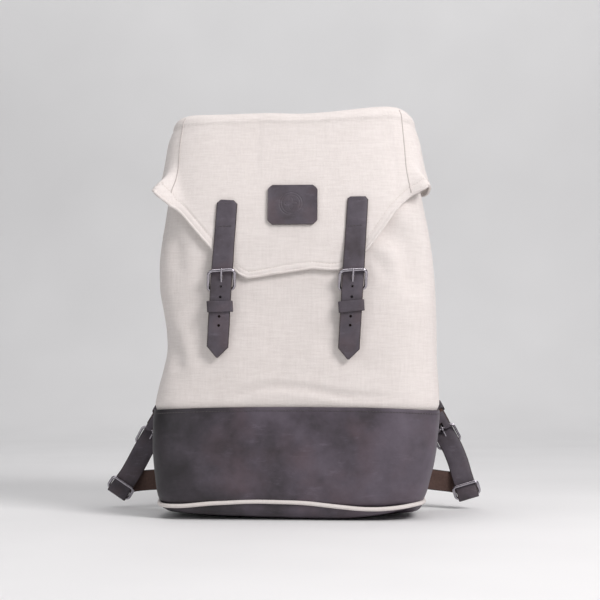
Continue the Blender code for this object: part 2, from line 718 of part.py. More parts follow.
def make_lower_strap(label, side, buckle, axes, loop):
    """From its tail above the buckle, down and round the loop's bar, and back to the bag's corner.

    It returns the place of that bar.
    """
    down, cross, front = axes
    run, loop_cross, loop_front = local_axes(LOOP_RUN[label])
    bar = loop + run * LOOP_HALF_H - loop_front * LOOP_SHIFT
    turn = LOOP_SHIFT
    up = Vector((0, 0, 1)) * side
    end = Vector((side * CORNER_X, CORNER_Y, CORNER_Z))
    controls = [
        (buckle - down * 0.049, cross, STRAP_W * 0.5),
        (buckle - down * 0.043, cross, STRAP_W),
        (buckle - down * 0.020, cross, STRAP_W),
        (buckle - down * 0.005, cross, STRAP_W),
        (buckle + down * 0.010, cross, STRAP_W),
        (buckle + down * 0.015, cross, STRAP_W),
        ((buckle + down * 0.024).lerp(loop - run * 0.026, 0.5), cross.lerp(loop_cross, 0.5), STRAP_W),
        (loop - run * 0.020, loop_cross, STRAP_W),
        (loop - run * 0.012, loop_cross, STRAP_W),
        (loop - run * 0.002, loop_cross, STRAP_W),
        (bar + loop_front * turn, loop_cross, STRAP_W),
        (bar + (run + loop_front) * turn * 0.707, loop_cross, STRAP_W),
        (bar + run * turn, loop_cross, STRAP_W),
        (bar + (run - loop_front) * turn * 0.707, loop_cross, STRAP_W),
        (bar - loop_front * turn, loop_cross, STRAP_W),
        (bar - loop_front * (turn + 0.0035) - run * 0.012, loop_cross.lerp(up, 0.15), STRAP_W),
        (end + Vector((side * 0.028, 0.010, -0.002)), loop_cross.lerp(up, 0.8), STRAP_W),
        (end + Vector((side * 0.012, 0.003, 0.0)), up, STRAP_W),
        (end, up, STRAP_W),
    ]
    strap = ribbon(f"lower_strap_{label}", flat_path(controls, 3), STRAP_T, "leather")
    slot = cylinder_cutter(f"tail_slot_{label}", (0.0021, 0.0068), 0.016, buckle - down * 0.0010, front)
    slot.rotation_euler = Matrix((cross, down, cross.cross(down))).transposed().to_euler()
    cut(strap, slot)

    top = loop - run * LOOP_HALF_H + loop_front * LOOP_SHIFT
    ring = (top + bar) / 2
    tall = (top - bar).length / 2
    tilt = (top - bar).normalized()
    points = [ring + loop_cross * x + tilt * y for x, y in rounded_loop(LOOP_HALF_W, tall, 0.0035)]
    wire(f"strap_loop_{label}", points, LOOP_WIRE, "metal", cyclic=True)

    patch_place = (side * (CORNER_X - 0.019), BACK_Y + 0.0020, CORNER_Z + 0.002)
    box(f"corner_patch_{label}", (0.032, 0.0024, 0.036), patch_place, "leather")
    return bar


BAG = CUTTERS = None


def main():
    global BAG, CUTTERS
    clear_scene()
    BAG = new_collection("rucksack")
    CUTTERS = new_collection("cutters", hidden=True)
    make_body()
    make_base()
    make_lining()
    make_mouth()
    make_flap()
    make_flap_seam()
    make_patch()
    for label, side in (("left", -1), ("right", 1)):
        make_front_strap(label, side)
        make_buckle(label, side)
        make_shoulder(label, side)
    hinge_flap()
    make_yoke()
    make_handle()


main()
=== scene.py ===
"""The rucksack's looks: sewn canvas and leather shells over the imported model's metal and joints.

Metres, +Z up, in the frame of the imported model: the front faces -Y.
"""

import math

import bmesh
import bpy
import numpy as np
from mathutils import Matrix, Vector, noise


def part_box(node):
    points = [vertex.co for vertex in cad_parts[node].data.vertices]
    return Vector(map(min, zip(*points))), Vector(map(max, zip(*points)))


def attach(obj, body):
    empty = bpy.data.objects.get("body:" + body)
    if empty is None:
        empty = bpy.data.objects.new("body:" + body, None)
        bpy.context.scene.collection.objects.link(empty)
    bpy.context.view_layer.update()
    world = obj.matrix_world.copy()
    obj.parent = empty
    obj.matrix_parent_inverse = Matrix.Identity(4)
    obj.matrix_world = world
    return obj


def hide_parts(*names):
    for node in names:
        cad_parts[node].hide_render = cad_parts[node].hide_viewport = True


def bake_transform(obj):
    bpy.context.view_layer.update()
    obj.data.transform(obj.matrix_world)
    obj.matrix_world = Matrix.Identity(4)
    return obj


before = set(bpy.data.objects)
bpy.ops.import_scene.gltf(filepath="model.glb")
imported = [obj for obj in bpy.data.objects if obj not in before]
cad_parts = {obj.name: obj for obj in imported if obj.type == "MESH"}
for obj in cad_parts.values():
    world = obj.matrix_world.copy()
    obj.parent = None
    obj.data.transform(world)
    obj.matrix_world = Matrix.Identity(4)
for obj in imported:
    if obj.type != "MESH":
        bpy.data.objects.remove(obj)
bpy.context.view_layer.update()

SIDES = (("left", -1), ("right", 1))
TO_FRONT, TO_BACK = Vector((0, -1, 0)), Vector((0, 1, 0))
CANVAS_T, LEATHER_T = 0.0024, 0.0022
BACK_Y = 0.072  # the bag's flat back
POWER = 5.0  # how square the bag's outline is

# height, half width to the left and to the right, half depth
STATIONS = (
    (0.000, 0.1360, 0.1260, 0.0560),
    (0.018, 0.1525, 0.1430, 0.0680),
    (0.060, 0.1565, 0.1530, 0.0710),
    (0.100, 0.1575, 0.1590, 0.0720),
    (0.122, 0.1570, 0.1605, 0.0720),
    (0.150, 0.1510, 0.1590, 0.0720),
    (0.180, 0.1425, 0.1575, 0.0720),
    (0.210, 0.1440, 0.1565, 0.0720),
    (0.250, 0.1510, 0.1555, 0.0720),
    (0.280, 0.1515, 0.1540, 0.0720),
    (0.305, 0.1480, 0.1505, 0.0720),
    (0.335, 0.1425, 0.1450, 0.0710),
    (0.360, 0.1400, 0.1410, 0.0690),
    (0.430, 0.1285, 0.1285, 0.0620),
)


# ---------------------------------------------------------------- shapes
def clamp(value):
    return min(max(value, 0.0), 1.0)


def ease(value):
    """A soft step from 0 to 1."""
    return value * value * (3 - 2 * value)


def bell(distance, width):
    return math.exp(-(distance / width) ** 2)


def softened(x, table, spread):
    """A table's value at x, rounded off between its entries."""
    return float(np.mean([np.interp(x + spread * k, *table) for k in (-1.0, -0.5, 0.0, 0.5, 1.0)]))


def smooth_table(z, column):
    """A station's value at height z, rounded off between the stations."""
    heights = [s[0] for s in STATIONS]
    values = [s[column] for s in STATIONS]
    near = [np.interp(z + d, heights, values) for d in (-0.012, -0.006, 0.0, 0.006, 0.012)]
    return float(np.dot(near, (0.1, 0.2, 0.4, 0.2, 0.1)))


def outline(t, z, grow=0.0):
    """The bag's outside at turn t (0 is +X, a quarter is +Y) and height z, grown outwards."""
    c, s = math.cos(2 * math.pi * t), math.sin(2 * math.pi * t)
    half_w = smooth_table(z, 2 if c > 0 else 1)
    half_d = smooth_table(z, 3)
    x = (half_w + grow) * math.copysign(abs(c) ** (2 / POWER), c)
    y = (half_d + grow) * math.copysign(abs(s) ** (2 / POWER), s)
    return Vector((x, BACK_Y - half_d + y, z))


def front_y(x, z, grow=0.0):
    """Y of the bag's front at x and height z, grown outwards."""
    half_w = smooth_table(z, 2 if x > 0 else 1)
    half_d = smooth_table(z, 3)
    share = min(abs(x) / (half_w + grow), 0.97)
    return BACK_Y - half_d - (half_d + grow) * (1 - share ** POWER) ** (1 / POWER)


def even_turns(start, end, count):
    """Turns from start to end whose points lie evenly along the outline."""
    fine = np.linspace(start, end, 1200)
    points = np.array([outline(t, 0.2)[:2] for t in fine])
    run = np.concatenate([[0], np.cumsum(np.linalg.norm(np.diff(points, axis=0), axis=1))])
    return np.interp(np.linspace(0, run[-1], count + 1), run, fine)


def outward(point):
    """Level direction out of the bag at a point on its walls."""
    x, y = point.x, point.y - 0.002
    n = Vector((math.copysign((abs(x) / 0.15) ** 4, x), math.copysign((abs(y) / 0.07) ** 4, y), 0))
    return n.normalized()


def ripple(point, scale, seed):
    """Even noise of about -1 to 1 with humps of the given size."""
    return noise.noise(Vector(point) / scale + Vector((seed, seed * 1.7, -seed)))


def near_line(x, z, line):
    """Distance in the front's plane to a polyline, and the share of the way along it."""
    best, at = 9.0, 0.0
    for i, (a, b) in enumerate(zip(line, line[1:])):
        ab = (b[0] - a[0], b[1] - a[1])
        k = ((x - a[0]) * ab[0] + (z - a[1]) * ab[1]) / (ab[0] ** 2 + ab[1] ** 2)
        k = clamp(k)
        d = math.hypot(x - a[0] - ab[0] * k, z - a[1] - ab[1] * k)
        if d < best:
            best, at = d, (i + k) / (len(line) - 1)
    return best, at


def centripetal(points, steps):
    """A smooth path through the points, steps to a span."""
    path = [Vector(p) for p in points]
    path = [2 * path[0] - path[1], *path, 2 * path[-1] - path[-2]]
    out = []
    for a, b, c, d in zip(path, path[1:], path[2:], path[3:]):
        t1 = (b - a).length ** 0.5
        t2 = t1 + (c - b).length ** 0.5
        t3 = t2 + (d - c).length ** 0.5
        for i in range(steps):
            t = t1 + (t2 - t1) * i / steps
            ab, bc = a.lerp(b, t / t1), b.lerp(c, (t - t1) / (t2 - t1))
            cd = c.lerp(d, (t - t2) / (t3 - t2))
            near, far = ab.lerp(bc, t / t2), bc.lerp(cd, (t - t1) / (t3 - t1))
            out.append(near.lerp(far, (t - t1) / (t2 - t1)))
    out.append(path[-2])
    return out


def lengths(points):
    """Running length along the points."""
    run = [0.0]
    for a, b in zip(points, points[1:]):
        run.append(run[-1] + (b - a).length)
    return run


# ---------------------------------------------------------------- making pieces
def add_object(name, data):
    obj = bpy.data.objects.new(name, data)
    bpy.context.scene.collection.objects.link(obj)
    return obj


def new_piece(name, mesh, look, smooth=True):
    """An object in the scene from a bmesh, with one material or several."""
    data = bpy.data.meshes.new(name)
    mesh.to_mesh(data)
    mesh.free()
    obj = add_object(name, data)
    for m in look if isinstance(look, (list, tuple)) else [look]:
        data.materials.append(m)
    if smooth:
        data.shade_smooth()
    return obj


def new_mesh():
    """An empty bmesh and its UV layer, which holds metres."""
    mesh = bmesh.new()
    return mesh, mesh.loops.layers.uv.new("metres")


def quads(mesh, upper, lower, closed=True, uv=None, above=(), below=()):
    """Faces between two rows of vertices, with the UVs of the row above and the row below."""
    faces = []
    for i in range(len(upper) if closed else len(upper) - 1):
        k = (i + 1) % len(upper)
        faces.append(mesh.faces.new((upper[i], upper[k], lower[k], lower[i])))
        if uv:
            spots = (above[i], above[i + 1], below[i + 1], below[i])
            for loop, spot in zip(faces[-1].loops, spots):
                loop[uv].uv = spot
    return faces


def grid_mesh(rows, closed=False):
    """A grid of quads whose UVs are its own lengths in metres."""
    mesh, uv = new_mesh()
    grid = [[mesh.verts.new(p) for p in row] for row in rows]
    middle = rows[len(rows) // 2]
    across = lengths([*middle, middle[0]])
    down = lengths([row[len(row) // 2] for row in rows])
    spots = [[(x, y) for x in across] for y in down]
    for j in range(len(rows) - 1):
        quads(mesh, grid[j], grid[j + 1], closed, uv, spots[j], spots[j + 1])
    return mesh


def fit(piece, slot, body, *nodes):
    """Gives a piece its body and hides the nodes that it stands for. The slot is not used."""
    if nodes:
        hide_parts(*nodes)
    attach(piece, body)


def solidify(obj, thickness, offset, edge_slot=None, bevel=0.0):
    """Gives a sheet its thickness, an edge material and a rounded edge."""
    shell = obj.modifiers.new("thickness", "SOLIDIFY")
    shell.thickness = thickness
    shell.offset = offset
    shell.use_even_offset = False
    if edge_slot is not None:
        shell.material_offset_rim = edge_slot
    if bevel:
        shell.bevel_convex = 0.0
        rounding = obj.modifiers.new("edge", "BEVEL")
        rounding.width = bevel
        rounding.segments = 2
        rounding.limit_method = "ANGLE"
        rounding.angle_limit = math.radians(50)
        rounding.harden_normals = False
    return obj


def ring_of(mesh, row):
    """The mesh's vertices at the last row of a grid."""
    mesh.verts.ensure_lookup_table()
    return [mesh.verts[len(mesh.verts) - len(row) + i] for i in range(len(row))]


def rounded_loop(half_w, half_h, radius, steps=6):
    """Points round a rectangle with rounded corners, evenly close together."""
    corners = []
    for sx, sy, start in ((1, 1, 0), (-1, 1, 1), (-1, -1, 2), (1, -1, 3)):
        for i in range(steps + 1):
            a = math.pi / 2 * (start + i / steps)
            corners.append((sx * (half_w - radius) + radius * math.cos(a),
                            sy * (half_h - radius) + radius * math.sin(a)))
    points = []
    for a, b in zip(corners, [*corners[1:], corners[0]]):
        points.append(a)
        gap = math.hypot(b[0] - a[0], b[1] - a[1])
        for i in range(1, int(gap / 0.002)):
            k = i / int(gap / 0.002)
            points.append((a[0] + (b[0] - a[0]) * k, a[1] + (b[1] - a[1]) * k))
    return points


def bake(obj):
    """Applies a piece's modifiers."""
    graph = bpy.context.evaluated_depsgraph_get()
    made = bpy.data.meshes.new_from_object(obj.evaluated_get(graph), depsgraph=graph)
    obj.modifiers.clear()
    obj.data = made
    made.set_sharp_from_angle(angle=math.radians(40))


def cut_out(obj, mesh, place):
    """Cuts the mesh's shape, set in place, out of a piece."""
    bmesh.ops.transform(mesh, matrix=place, verts=mesh.verts)
    cutter = new_piece("cutter", mesh, edge_leather, smooth=False)
    obj.modifiers.new("hole", "BOOLEAN").object = cutter
    bake(obj)
    bpy.data.objects.remove(cutter)


def face_outwards(obj):
    """Turns a sheet's faces so that its foremost one faces the front."""
    mesh = bmesh.new()
    mesh.from_mesh(obj.data)
    bmesh.ops.recalc_face_normals(mesh, faces=mesh.faces)
    low = min(mesh.faces, key=lambda f: f.calc_center_median().y)
    if low.normal.y > 0:
        bmesh.ops.reverse_faces(mesh, faces=mesh.faces)
    mesh.to_mesh(obj.data)
    mesh.free()


def join(name, parts):
    """One mesh piece out of several."""
    bpy.context.view_layer.update()
    mesh = bmesh.new()
    looks = []
    for part in parts:
        offset = len(looks)
        looks += [m for m in part.data.materials]
        start = len(mesh.faces)
        mesh.from_mesh(part.data)
        mesh.faces.ensure_lookup_table()
        for face in mesh.faces[start:]:
            face.material_index += offset
        bpy.data.objects.remove(part)
    return new_piece(name, mesh, looks)


def seam_lines(name, paths, body):
    """Fine raised seams along the paths, in a darker cream that is painted shade for the seams'
    grooves.
    """
    seams = [tube(f"{name}_{i}", p, 0.0006, painted_seam_shade, sides=8) for i, p in enumerate(paths)]
    fit(join(name, seams), "canvas", body)


def frames_along(path, hint):
    """Directions along, across and out of a path. Across starts as near as it can to hint."""
    out = []
    for i, place in enumerate(path):
        before, after = path[max(i - 1, 0)], path[min(i + 1, len(path) - 1)]
        along = (after - before).normalized()
        given = hint[i] if isinstance(hint, list) else hint
        side = (given - along * given.dot(along)).normalized()
        out.append((place, along, side, side.cross(along).normalized()))
    return out


def strap(name, path, hint, widths, thickness, look):
    """A flat strap with rounded edges. Material slots are grain, edge and flesh side."""
    mesh, uv = new_mesh()
    rings, spots = [], []
    half_t = thickness / 2
    r = min(half_t * 0.8, 0.0009)
    for (place, _, side, out), width, run in zip(frames_along(path, hint), widths, lengths(path)):
        half, cut = width / 2, r * 0.3
        section = [(x * (half - r), half_t) for x in (-1, -0.5, 0, 0.5, 1)]
        section += [(half - cut, half_t - cut), (half, 0), (half - cut, -half_t + cut)]
        section += [(x * (half - r), -half_t) for x in (1, 0.5, 0, -0.5, -1)]
        section += [(-half + cut, -half_t + cut), (-half, 0), (-half + cut, half_t - cut)]
        rings.append([mesh.verts.new(place + side * x + out * y) for x, y in section])
        spots.append([(x, run) for x, _ in [*section, section[0]]])
    for j in range(len(rings) - 1):
        faces = quads(mesh, rings[j], rings[j + 1], True, uv, spots[j], spots[j + 1])
        for i, face in enumerate(faces):
            face.material_index = 0 if i < 4 else 2 if 8 <= i < 12 else 1
    mesh.faces.new(rings[0][::-1]).material_index = 1
    mesh.faces.new(rings[-1]).material_index = 1
    bmesh.ops.recalc_face_normals(mesh, faces=mesh.faces)
    return new_piece(name, mesh, look)


def ring_round(mesh, centre, side, out, size, sides):
    """A ring of vertices about a centre."""
    turns = [2 * math.pi * k / sides for k in range(sides)]
    places = [centre + side * size * math.cos(a) + out * size * math.sin(a) for a in turns]
    return [mesh.verts.new(place) for place in places]


def tube(name, path, radius, look, closed=False, sides=10, hint=Vector((0, 0, 1))):
    """A round cord of a given radius, or of a radius by the share of its length."""
    mesh, uv = new_mesh()
    rings, count = [], len(path)
    for i in range(count):
        before = path[i - 1] if closed or i else path[0]
        after = path[(i + 1) % count] if closed or i < count - 1 else path[-1]
        along = (after - before).normalized()
        side = (hint - along * hint.dot(along)).normalized()
        out = side.cross(along).normalized()
        size = radius(i / (count - 1)) if callable(radius) else radius
        rings.append(ring_round(mesh, path[i], side, out, size, sides))
    spots = [[(i * 2 * math.pi * 0.003 / sides, run) for i in range(sides + 1)]
             for run in lengths([*path, path[0]])]
    for j in range(count if closed else count - 1):
        quads(mesh, rings[j], rings[(j + 1) % count], True, uv, spots[j], spots[j + 1])
    if not closed:
        mesh.faces.new(rings[0][::-1])
        mesh.faces.new(rings[-1])
    bmesh.ops.recalc_face_normals(mesh, faces=mesh.faces)
    return new_piece(name, mesh, look)


def stitches(name, lines, look, pitch=0.0034):
    """A row of thread stitches along each line of (place, outward direction)."""
    mesh = bmesh.new()
    for line in lines:
        places = [p for p, _ in line]
        run = np.array(lengths(places))
        count = max(int(run[-1] / pitch), 1)
        for i in range(count):
            ends = []
            for d in ((i + 0.12) * pitch, (i + 0.5) * pitch, (i + 0.88) * pitch):
                k = min(int(np.searchsorted(run, d, side="right")) - 1, len(places) - 2)
                share = (d - run[k]) / max(run[k + 1] - run[k], 1e-9)
                n = line[k][1].lerp(line[k + 1][1], share).normalized()
                ends.append((places[k].lerp(places[k + 1], share), n))
            along = (ends[2][0] - ends[0][0]).normalized()
            side = along.cross(ends[1][1]).normalized()
            rings = []
            for (p, n), drop, size in zip(ends, (-0.0003, 0.0002, -0.0003), (0.7, 1.0, 0.7)):
                rings.append(ring_round(mesh, p + n * drop, side, n, 0.00033 * size, 6))
            quads(mesh, rings[0], rings[1])
            quads(mesh, rings[1], rings[2])
            mesh.faces.new(rings[0][::-1])
            mesh.faces.new(rings[-1])
    bmesh.ops.recalc_face_normals(mesh, faces=mesh.faces)
    return new_piece(name, mesh, look)


# ---------------------------------------------------------------- materials
class Look:
    """A node tree written a line at a time."""

    def __init__(self, name):
        self.material = bpy.data.materials.new(name)
        self.material.use_nodes = True
        self.tree = self.material.node_tree
        self.shader = self.tree.nodes["Principled BSDF"]

    def link(self, a, b):
        self.tree.links.new(a, b)

    def feed(self, socket, value):
        """Links a socket to another, or gives it a value."""
        if isinstance(value, bpy.types.NodeSocket):
            self.link(value, socket)
        else:
            socket.default_value = value

    def node(self, kind, **inputs):
        made = self.tree.nodes.new(kind)
        for key, value in inputs.items():
            self.feed(made.inputs[key.replace("_", " ")], value)
        return made

    def math(self, operation, a, b=0.5, c=0.5):
        made = self.tree.nodes.new("ShaderNodeMath")
        made.operation = operation
        for socket, value in zip(made.inputs, (a, b, c)):
            self.feed(socket, value)
        return made.outputs[0]

    def blend(self, a, share_a, b, share_b):
        """Two values added together, each by its share."""
        a, b = self.math("MULTIPLY", a, share_a), self.math("MULTIPLY", b, share_b)
        return self.math("ADD", a, b)

    def ramp(self, fac, *stops):
        """Colours along a value. A stop's colour may be a plain grey level."""
        made = self.tree.nodes.new("ShaderNodeValToRGB")
        self.link(fac, made.inputs[0])
        while len(made.color_ramp.elements) < len(stops):
            made.color_ramp.elements.new(0.5)
        for element, (place, colour) in zip(made.color_ramp.elements, stops):
            element.position = place
            element.color = (*((colour,) * 3 if isinstance(colour, (int, float)) else colour), 1)
        return made.outputs[0]

    def mix(self, fac, a, b):
        made = self.tree.nodes.new("ShaderNodeMix")
        made.data_type = "RGBA"
        self.feed(made.inputs[0], fac)
        for socket, value in ((made.inputs[6], a), (made.inputs[7], b)):
            self.feed(socket, (*value, 1) if isinstance(value, tuple) else value)
        return made.outputs[2]

    def bump(self, height, strength, distance, under=None):
        made = self.node("ShaderNodeBump", Height=height, Strength=strength, Distance=distance)
        if under is not None:
            self.link(under, made.inputs["Normal"])
        return made.outputs[0]

    def uv(self):
        made = self.tree.nodes.new("ShaderNodeUVMap")
        made.uv_map = "metres"
        return made.outputs[0]

    def place(self):
        return self.tree.nodes.new("ShaderNodeTexCoord").outputs["Object"]

    def mapped(self, vector, scale, rotation=(0, 0, 0)):
        made = self.node("ShaderNodeMapping", Vector=vector, Scale=scale, Rotation=rotation)
        return made.outputs[0]

    def wave(self, vector, direction, scale, distortion=0.0):
        made = self.node("ShaderNodeTexWave", Vector=vector, Scale=scale, Distortion=distortion,
                         Detail=1.0, Detail_Scale=0.6)
        made.bands_direction = direction
        return made.outputs["Fac"]

    def noise(self, vector, scale, detail=3.0, roughness=0.55):
        return self.node("ShaderNodeTexNoise", Vector=vector, Scale=scale, Detail=detail,
                         Roughness=roughness).outputs["Fac"]

    def roughness(self, value, low, high):
        """Spreads a noise value between two roughnesses."""
        made = self.node("ShaderNodeMapRange", Value=value, To_Min=low, To_Max=high)
        self.link(made.outputs[0], self.shader.inputs["Roughness"])

    def finish(self, colour, normal=None, **values):
        """Sets the shader's colour, bumps and plain values."""
        self.link(colour, self.shader.inputs["Base Color"])
        if normal:
            self.link(normal, self.shader.inputs["Normal"])
        for key, value in values.items():
            self.shader.inputs[key.replace("_", " ")].default_value = value
        return self.material


def canvas_look(name, light, dark, coords):
    """Plain-woven cotton: fine threads, slubs that run along the weft, and a faint cloudiness."""
    look = Look(name)
    vector = look.uv() if coords == "uv" else look.place()
    place = look.place()
    warp = look.wave(vector, "X", 330.0, 0.30)
    weft = look.wave(vector, "Y" if coords == "uv" else "Z", 350.0, 0.30)
    weave = look.math("MULTIPLY", warp, weft)
    slub = look.noise(look.mapped(place, (1.0, 1.0, 9.0)), 60.0, 5.0, 0.62)
    warp_slub = look.noise(look.mapped(place, (9.0, 9.0, 1.0)), 55.0, 4.0, 0.6)
    cloud = look.noise(place, 7.0, 2.0)
    threads = look.blend(slub, 0.6, warp_slub, 0.4)
    tone = look.blend(threads, 0.8, cloud, 0.2)
    colour = look.ramp(tone, (0.30, dark), (0.60, light))
    shaded = look.mix(look.math("MULTIPLY", look.math("SUBTRACT", 1.0, weave), 0.14), colour, dark)
    bumps = look.bump(weave, 0.50, 0.00040, look.bump(threads, 0.30, 0.0012))
    return look.finish(shaded, bumps, Roughness=0.9, Sheen_Weight=0.15, Sheen_Roughness=0.5,
                       Specular_IOR_Level=0.2)


def leather_look(name, base, pale, deep, roughness, scale=1.0, painted_shade_and_sheen=False):
    """Waxed leather: cloudy dye, brown patches, scuffs and pores. If asked, it gets painted shade
    towards its left and a painted sheen towards its right.
    """
    look = Look(name)
    place = look.place()
    cloud = look.noise(place, 16.0 * scale, 5.0, 0.62)
    haze = look.noise(place, 55.0 * scale, 4.0, 0.6)
    drawn = look.mapped(place, (1.0, 1.0, 3.2), (0.2, 0.5, 0.3))
    scuff = look.noise(drawn, 38.0 * scale, 8.0, 0.72)
    brown = look.noise(place, 22.0 * scale, 3.0, 0.5)
    colour = look.ramp(cloud, (0.34, deep), (0.52, base), (0.72, pale))
    for value, start, end, amount, tint in (
        (haze, 0.45, 0.75, 0.35, pale),
        (brown, 0.50, 0.72, 0.40, (pale[0] * 1.05, pale[1] * 0.80, pale[2] * 0.72)),
        (scuff, 0.56, 0.76, 0.36, tuple(min(c * 1.9, 1.0) for c in pale)),
    ):
        colour = look.mix(look.ramp(value, (start, 0), (end, amount)), colour, tint)
    # painted shade darkens the leather towards the bag's left, and a painted sheen lightens it
    # towards the right
    if painted_shade_and_sheen:
        wander = look.math("MULTIPLY", look.math("SUBTRACT", cloud, 0.5), 0.16)
        axes = look.node("ShaderNodeSeparateXYZ", Vector=place)
        across = look.math("ADD", axes.outputs[0], wander)
        # the first pass paints shade with the deep colour, the second paints a sheen with the pale
        # one
        for shift, stops, tint, tone in ((0.7, ((0.06, 0.88), (0.50, 0.12), (0.78, 0)), deep, 0.30),
                                         (0.2, ((0.45, 0), (0.80, 0.42)), pale, 1.25)):
            end = look.ramp(look.math("MULTIPLY_ADD", across, 4.0, shift), *stops)
            colour = look.mix(end, colour, tuple(c * tone for c in tint))
    cells = look.node("ShaderNodeTexVoronoi", Vector=place, Scale=900.0 * scale)
    cells.feature = "DISTANCE_TO_EDGE"
    pores = look.ramp(cells.outputs["Distance"], (0.0, 0), (0.22, 1))
    wrinkles = look.bump(look.noise(place, 240.0 * scale, 5.0), 0.15, 0.0004)
    look.roughness(haze, roughness - 0.10, roughness + 0.12)
    return look.finish(colour, look.bump(pores, 0.09, 0.00012, wrinkles), Specular_IOR_Level=0.46)


def suede_look(name, light, dark):
    """The flesh side of leather: a fine matt nap."""
    look = Look(name)
    place = look.place()
    nap = look.noise(place, 420.0, 5.0, 0.7)
    colour = look.mix(look.noise(place, 30.0, 3.0), look.ramp(nap, (0.3, dark), (0.7, light)), dark)
    return look.finish(colour, look.bump(nap, 0.5, 0.0004), Roughness=0.95, Sheen_Weight=0.3,
                       Specular_IOR_Level=0.15)


def metal_look(name, colour, roughness):
    """Plated wire, a little dull in places."""
    look = Look(name)
    place = look.place()
    wear = look.noise(place, 260.0, 5.0, 0.65)
    look.roughness(wear, roughness - 0.08, roughness + 0.16)
    return look.finish(look.ramp(wear, (0.35, tuple(c * 0.72 for c in colour)), (0.6, colour)),
                       look.bump(look.noise(place, 900.0, 3.0), 0.06, 0.0001), Metallic=1.0)


def thread_look(name, colour):
    """Twisted sewing thread."""
    look = Look(name)
    twist = look.wave(look.place(), "DIAGONAL", 900.0)
    return look.finish(look.ramp(twist, (0.0, tuple(c * 0.72 for c in colour)), (0.7, colour)),
                       look.bump(twist, 0.4, 0.0001), Roughness=0.65, Sheen_Weight=0.2)


CREAM_LIGHT, CREAM_DARK = (0.80, 0.748, 0.720), (0.68, 0.625, 0.596)
canvas = canvas_look("cream canvas", CREAM_LIGHT, CREAM_DARK, "uv")
canvas_plain = canvas_look("cream canvas trim", CREAM_LIGHT, CREAM_DARK, "place")
lining_cloth = canvas_look("cotton lining", (0.56, 0.50, 0.43), (0.42, 0.36, 0.30), "place")
# the band and bottom leather carries painted shade at the bag's left and a painted sheen at its
# right
leather = leather_look("waxed leather", (0.064, 0.051, 0.066), (0.108, 0.089, 0.114),
                       (0.029, 0.023, 0.028), 0.48, painted_shade_and_sheen=True)
strap_leather = leather_look("strap leather", (0.074, 0.062, 0.077), (0.104, 0.090, 0.110),
                             (0.048, 0.038, 0.045), 0.54, 1.6)
edge_leather = leather_look("cut edge", (0.034, 0.024, 0.025), (0.055, 0.040, 0.040),
                            (0.018, 0.012, 0.013), 0.6, 2.0)
flesh = suede_look("flesh side", (0.130, 0.080, 0.066), (0.075, 0.045, 0.038))
nickel = metal_look("nickel", (0.43, 0.405, 0.445), 0.13)
# a darker cream for the seams: painted shade where the seams' grooves fall in shadow
painted_seam_shade = canvas_look("seam shade", (0.58, 0.53, 0.505), (0.48, 0.44, 0.42), "place")
cream_thread = thread_look("cream thread", (0.74, 0.67, 0.62))
dark_thread = thread_look("dark thread", (0.060, 0.048, 0.050))
LEATHER_SIDES = (strap_leather, edge_leather, flesh)


# ---------------------------------------------------------------- the canvas body
LEATHER_TOP = 0.122
MOUTH_Z = 0.4275
COLUMNS = 240
ALL_ROUND = even_turns(0, 1, COLUMNS)[:-1]

# soft creases in the front's plane: the line, its half width and its depth
CREASES = (
    (((-0.066, 0.132), (-0.042, 0.142), (-0.024, 0.1455), (0.018, 0.1428), (0.048, 0.136),
      (0.116, 0.132)), 0.0042, 0.0022),
    (((0.076, 0.318), (0.100, 0.318), (0.124, 0.300), (0.132, 0.268), (0.134, 0.240)),
     0.0140, 0.0046),
    (((0.070, 0.296), (0.094, 0.282), (0.108, 0.256)), 0.0080, 0.0018),
    (((-0.140, 0.330), (-0.128, 0.300), (-0.126, 0.262)), 0.0090, 0.0018),
    (((-0.150, 0.215), (-0.136, 0.198), (-0.128, 0.178), (-0.128, 0.158)), 0.0080, 0.0022),
    (((0.020, 0.205), (0.062, 0.176), (0.105, 0.160)), 0.0120, 0.0009),
    (((-0.098, 0.245), (-0.100, 0.205), (-0.094, 0.170)), 0.0100, 0.0008),
)


def relief(point):
    """How far the canvas stands in or out: loose cloth all over, and creases on the front."""
    x, y, z = point
    loose = 0.0016 * ripple(point, 0.075, 3.1) + 0.0006 * ripple(point, 0.026, 5.3)
    ends = clamp((z - LEATHER_TOP) / 0.03) * clamp((MOUTH_Z - z) / 0.03)
    total = loose * ends
    if y < -0.03:
        behind_tabs = 1.0 if z < 0.2 or abs(abs(x) - 0.066) > 0.02 else 0.4
        for line, width, depth in CREASES:
            d, along = near_line(x, z, line)
            if d < 4 * width:
                fade = min(1.0, 5 * min(along, 1 - along) + 0.15)
                valley = bell(d, width)
                lip = bell(d - 1.9 * width, width)
                total += depth * fade * behind_tabs * (0.35 * lip - valley)
    else:
        side = math.sin(math.pi * clamp((z - LEATHER_TOP) / 0.30))
        total += side * (0.0022 * ripple((x, y, z * 0.45), 0.05, 8.2) + 0.001)
    return min(total, 0.0030)


def band_top(t):
    """Height of the leather band's top edge, which dips a little towards the sides."""
    point = outline(t, LEATHER_TOP)
    return LEATHER_TOP + 0.0012 - 0.0040 * min(abs(point.x) / 0.157, 1.0) ** 2.5


def canvas_row(z, inset=0.0):
    """The canvas all round at height z, tucked in under the leather band."""
    row = []
    for t in ALL_ROUND:
        tuck = -0.0027 * (1 - clamp((z - band_top(t)) / 0.005))
        row.append(outline(t, z, tuck - inset + relief(outline(t, z))))
    return row


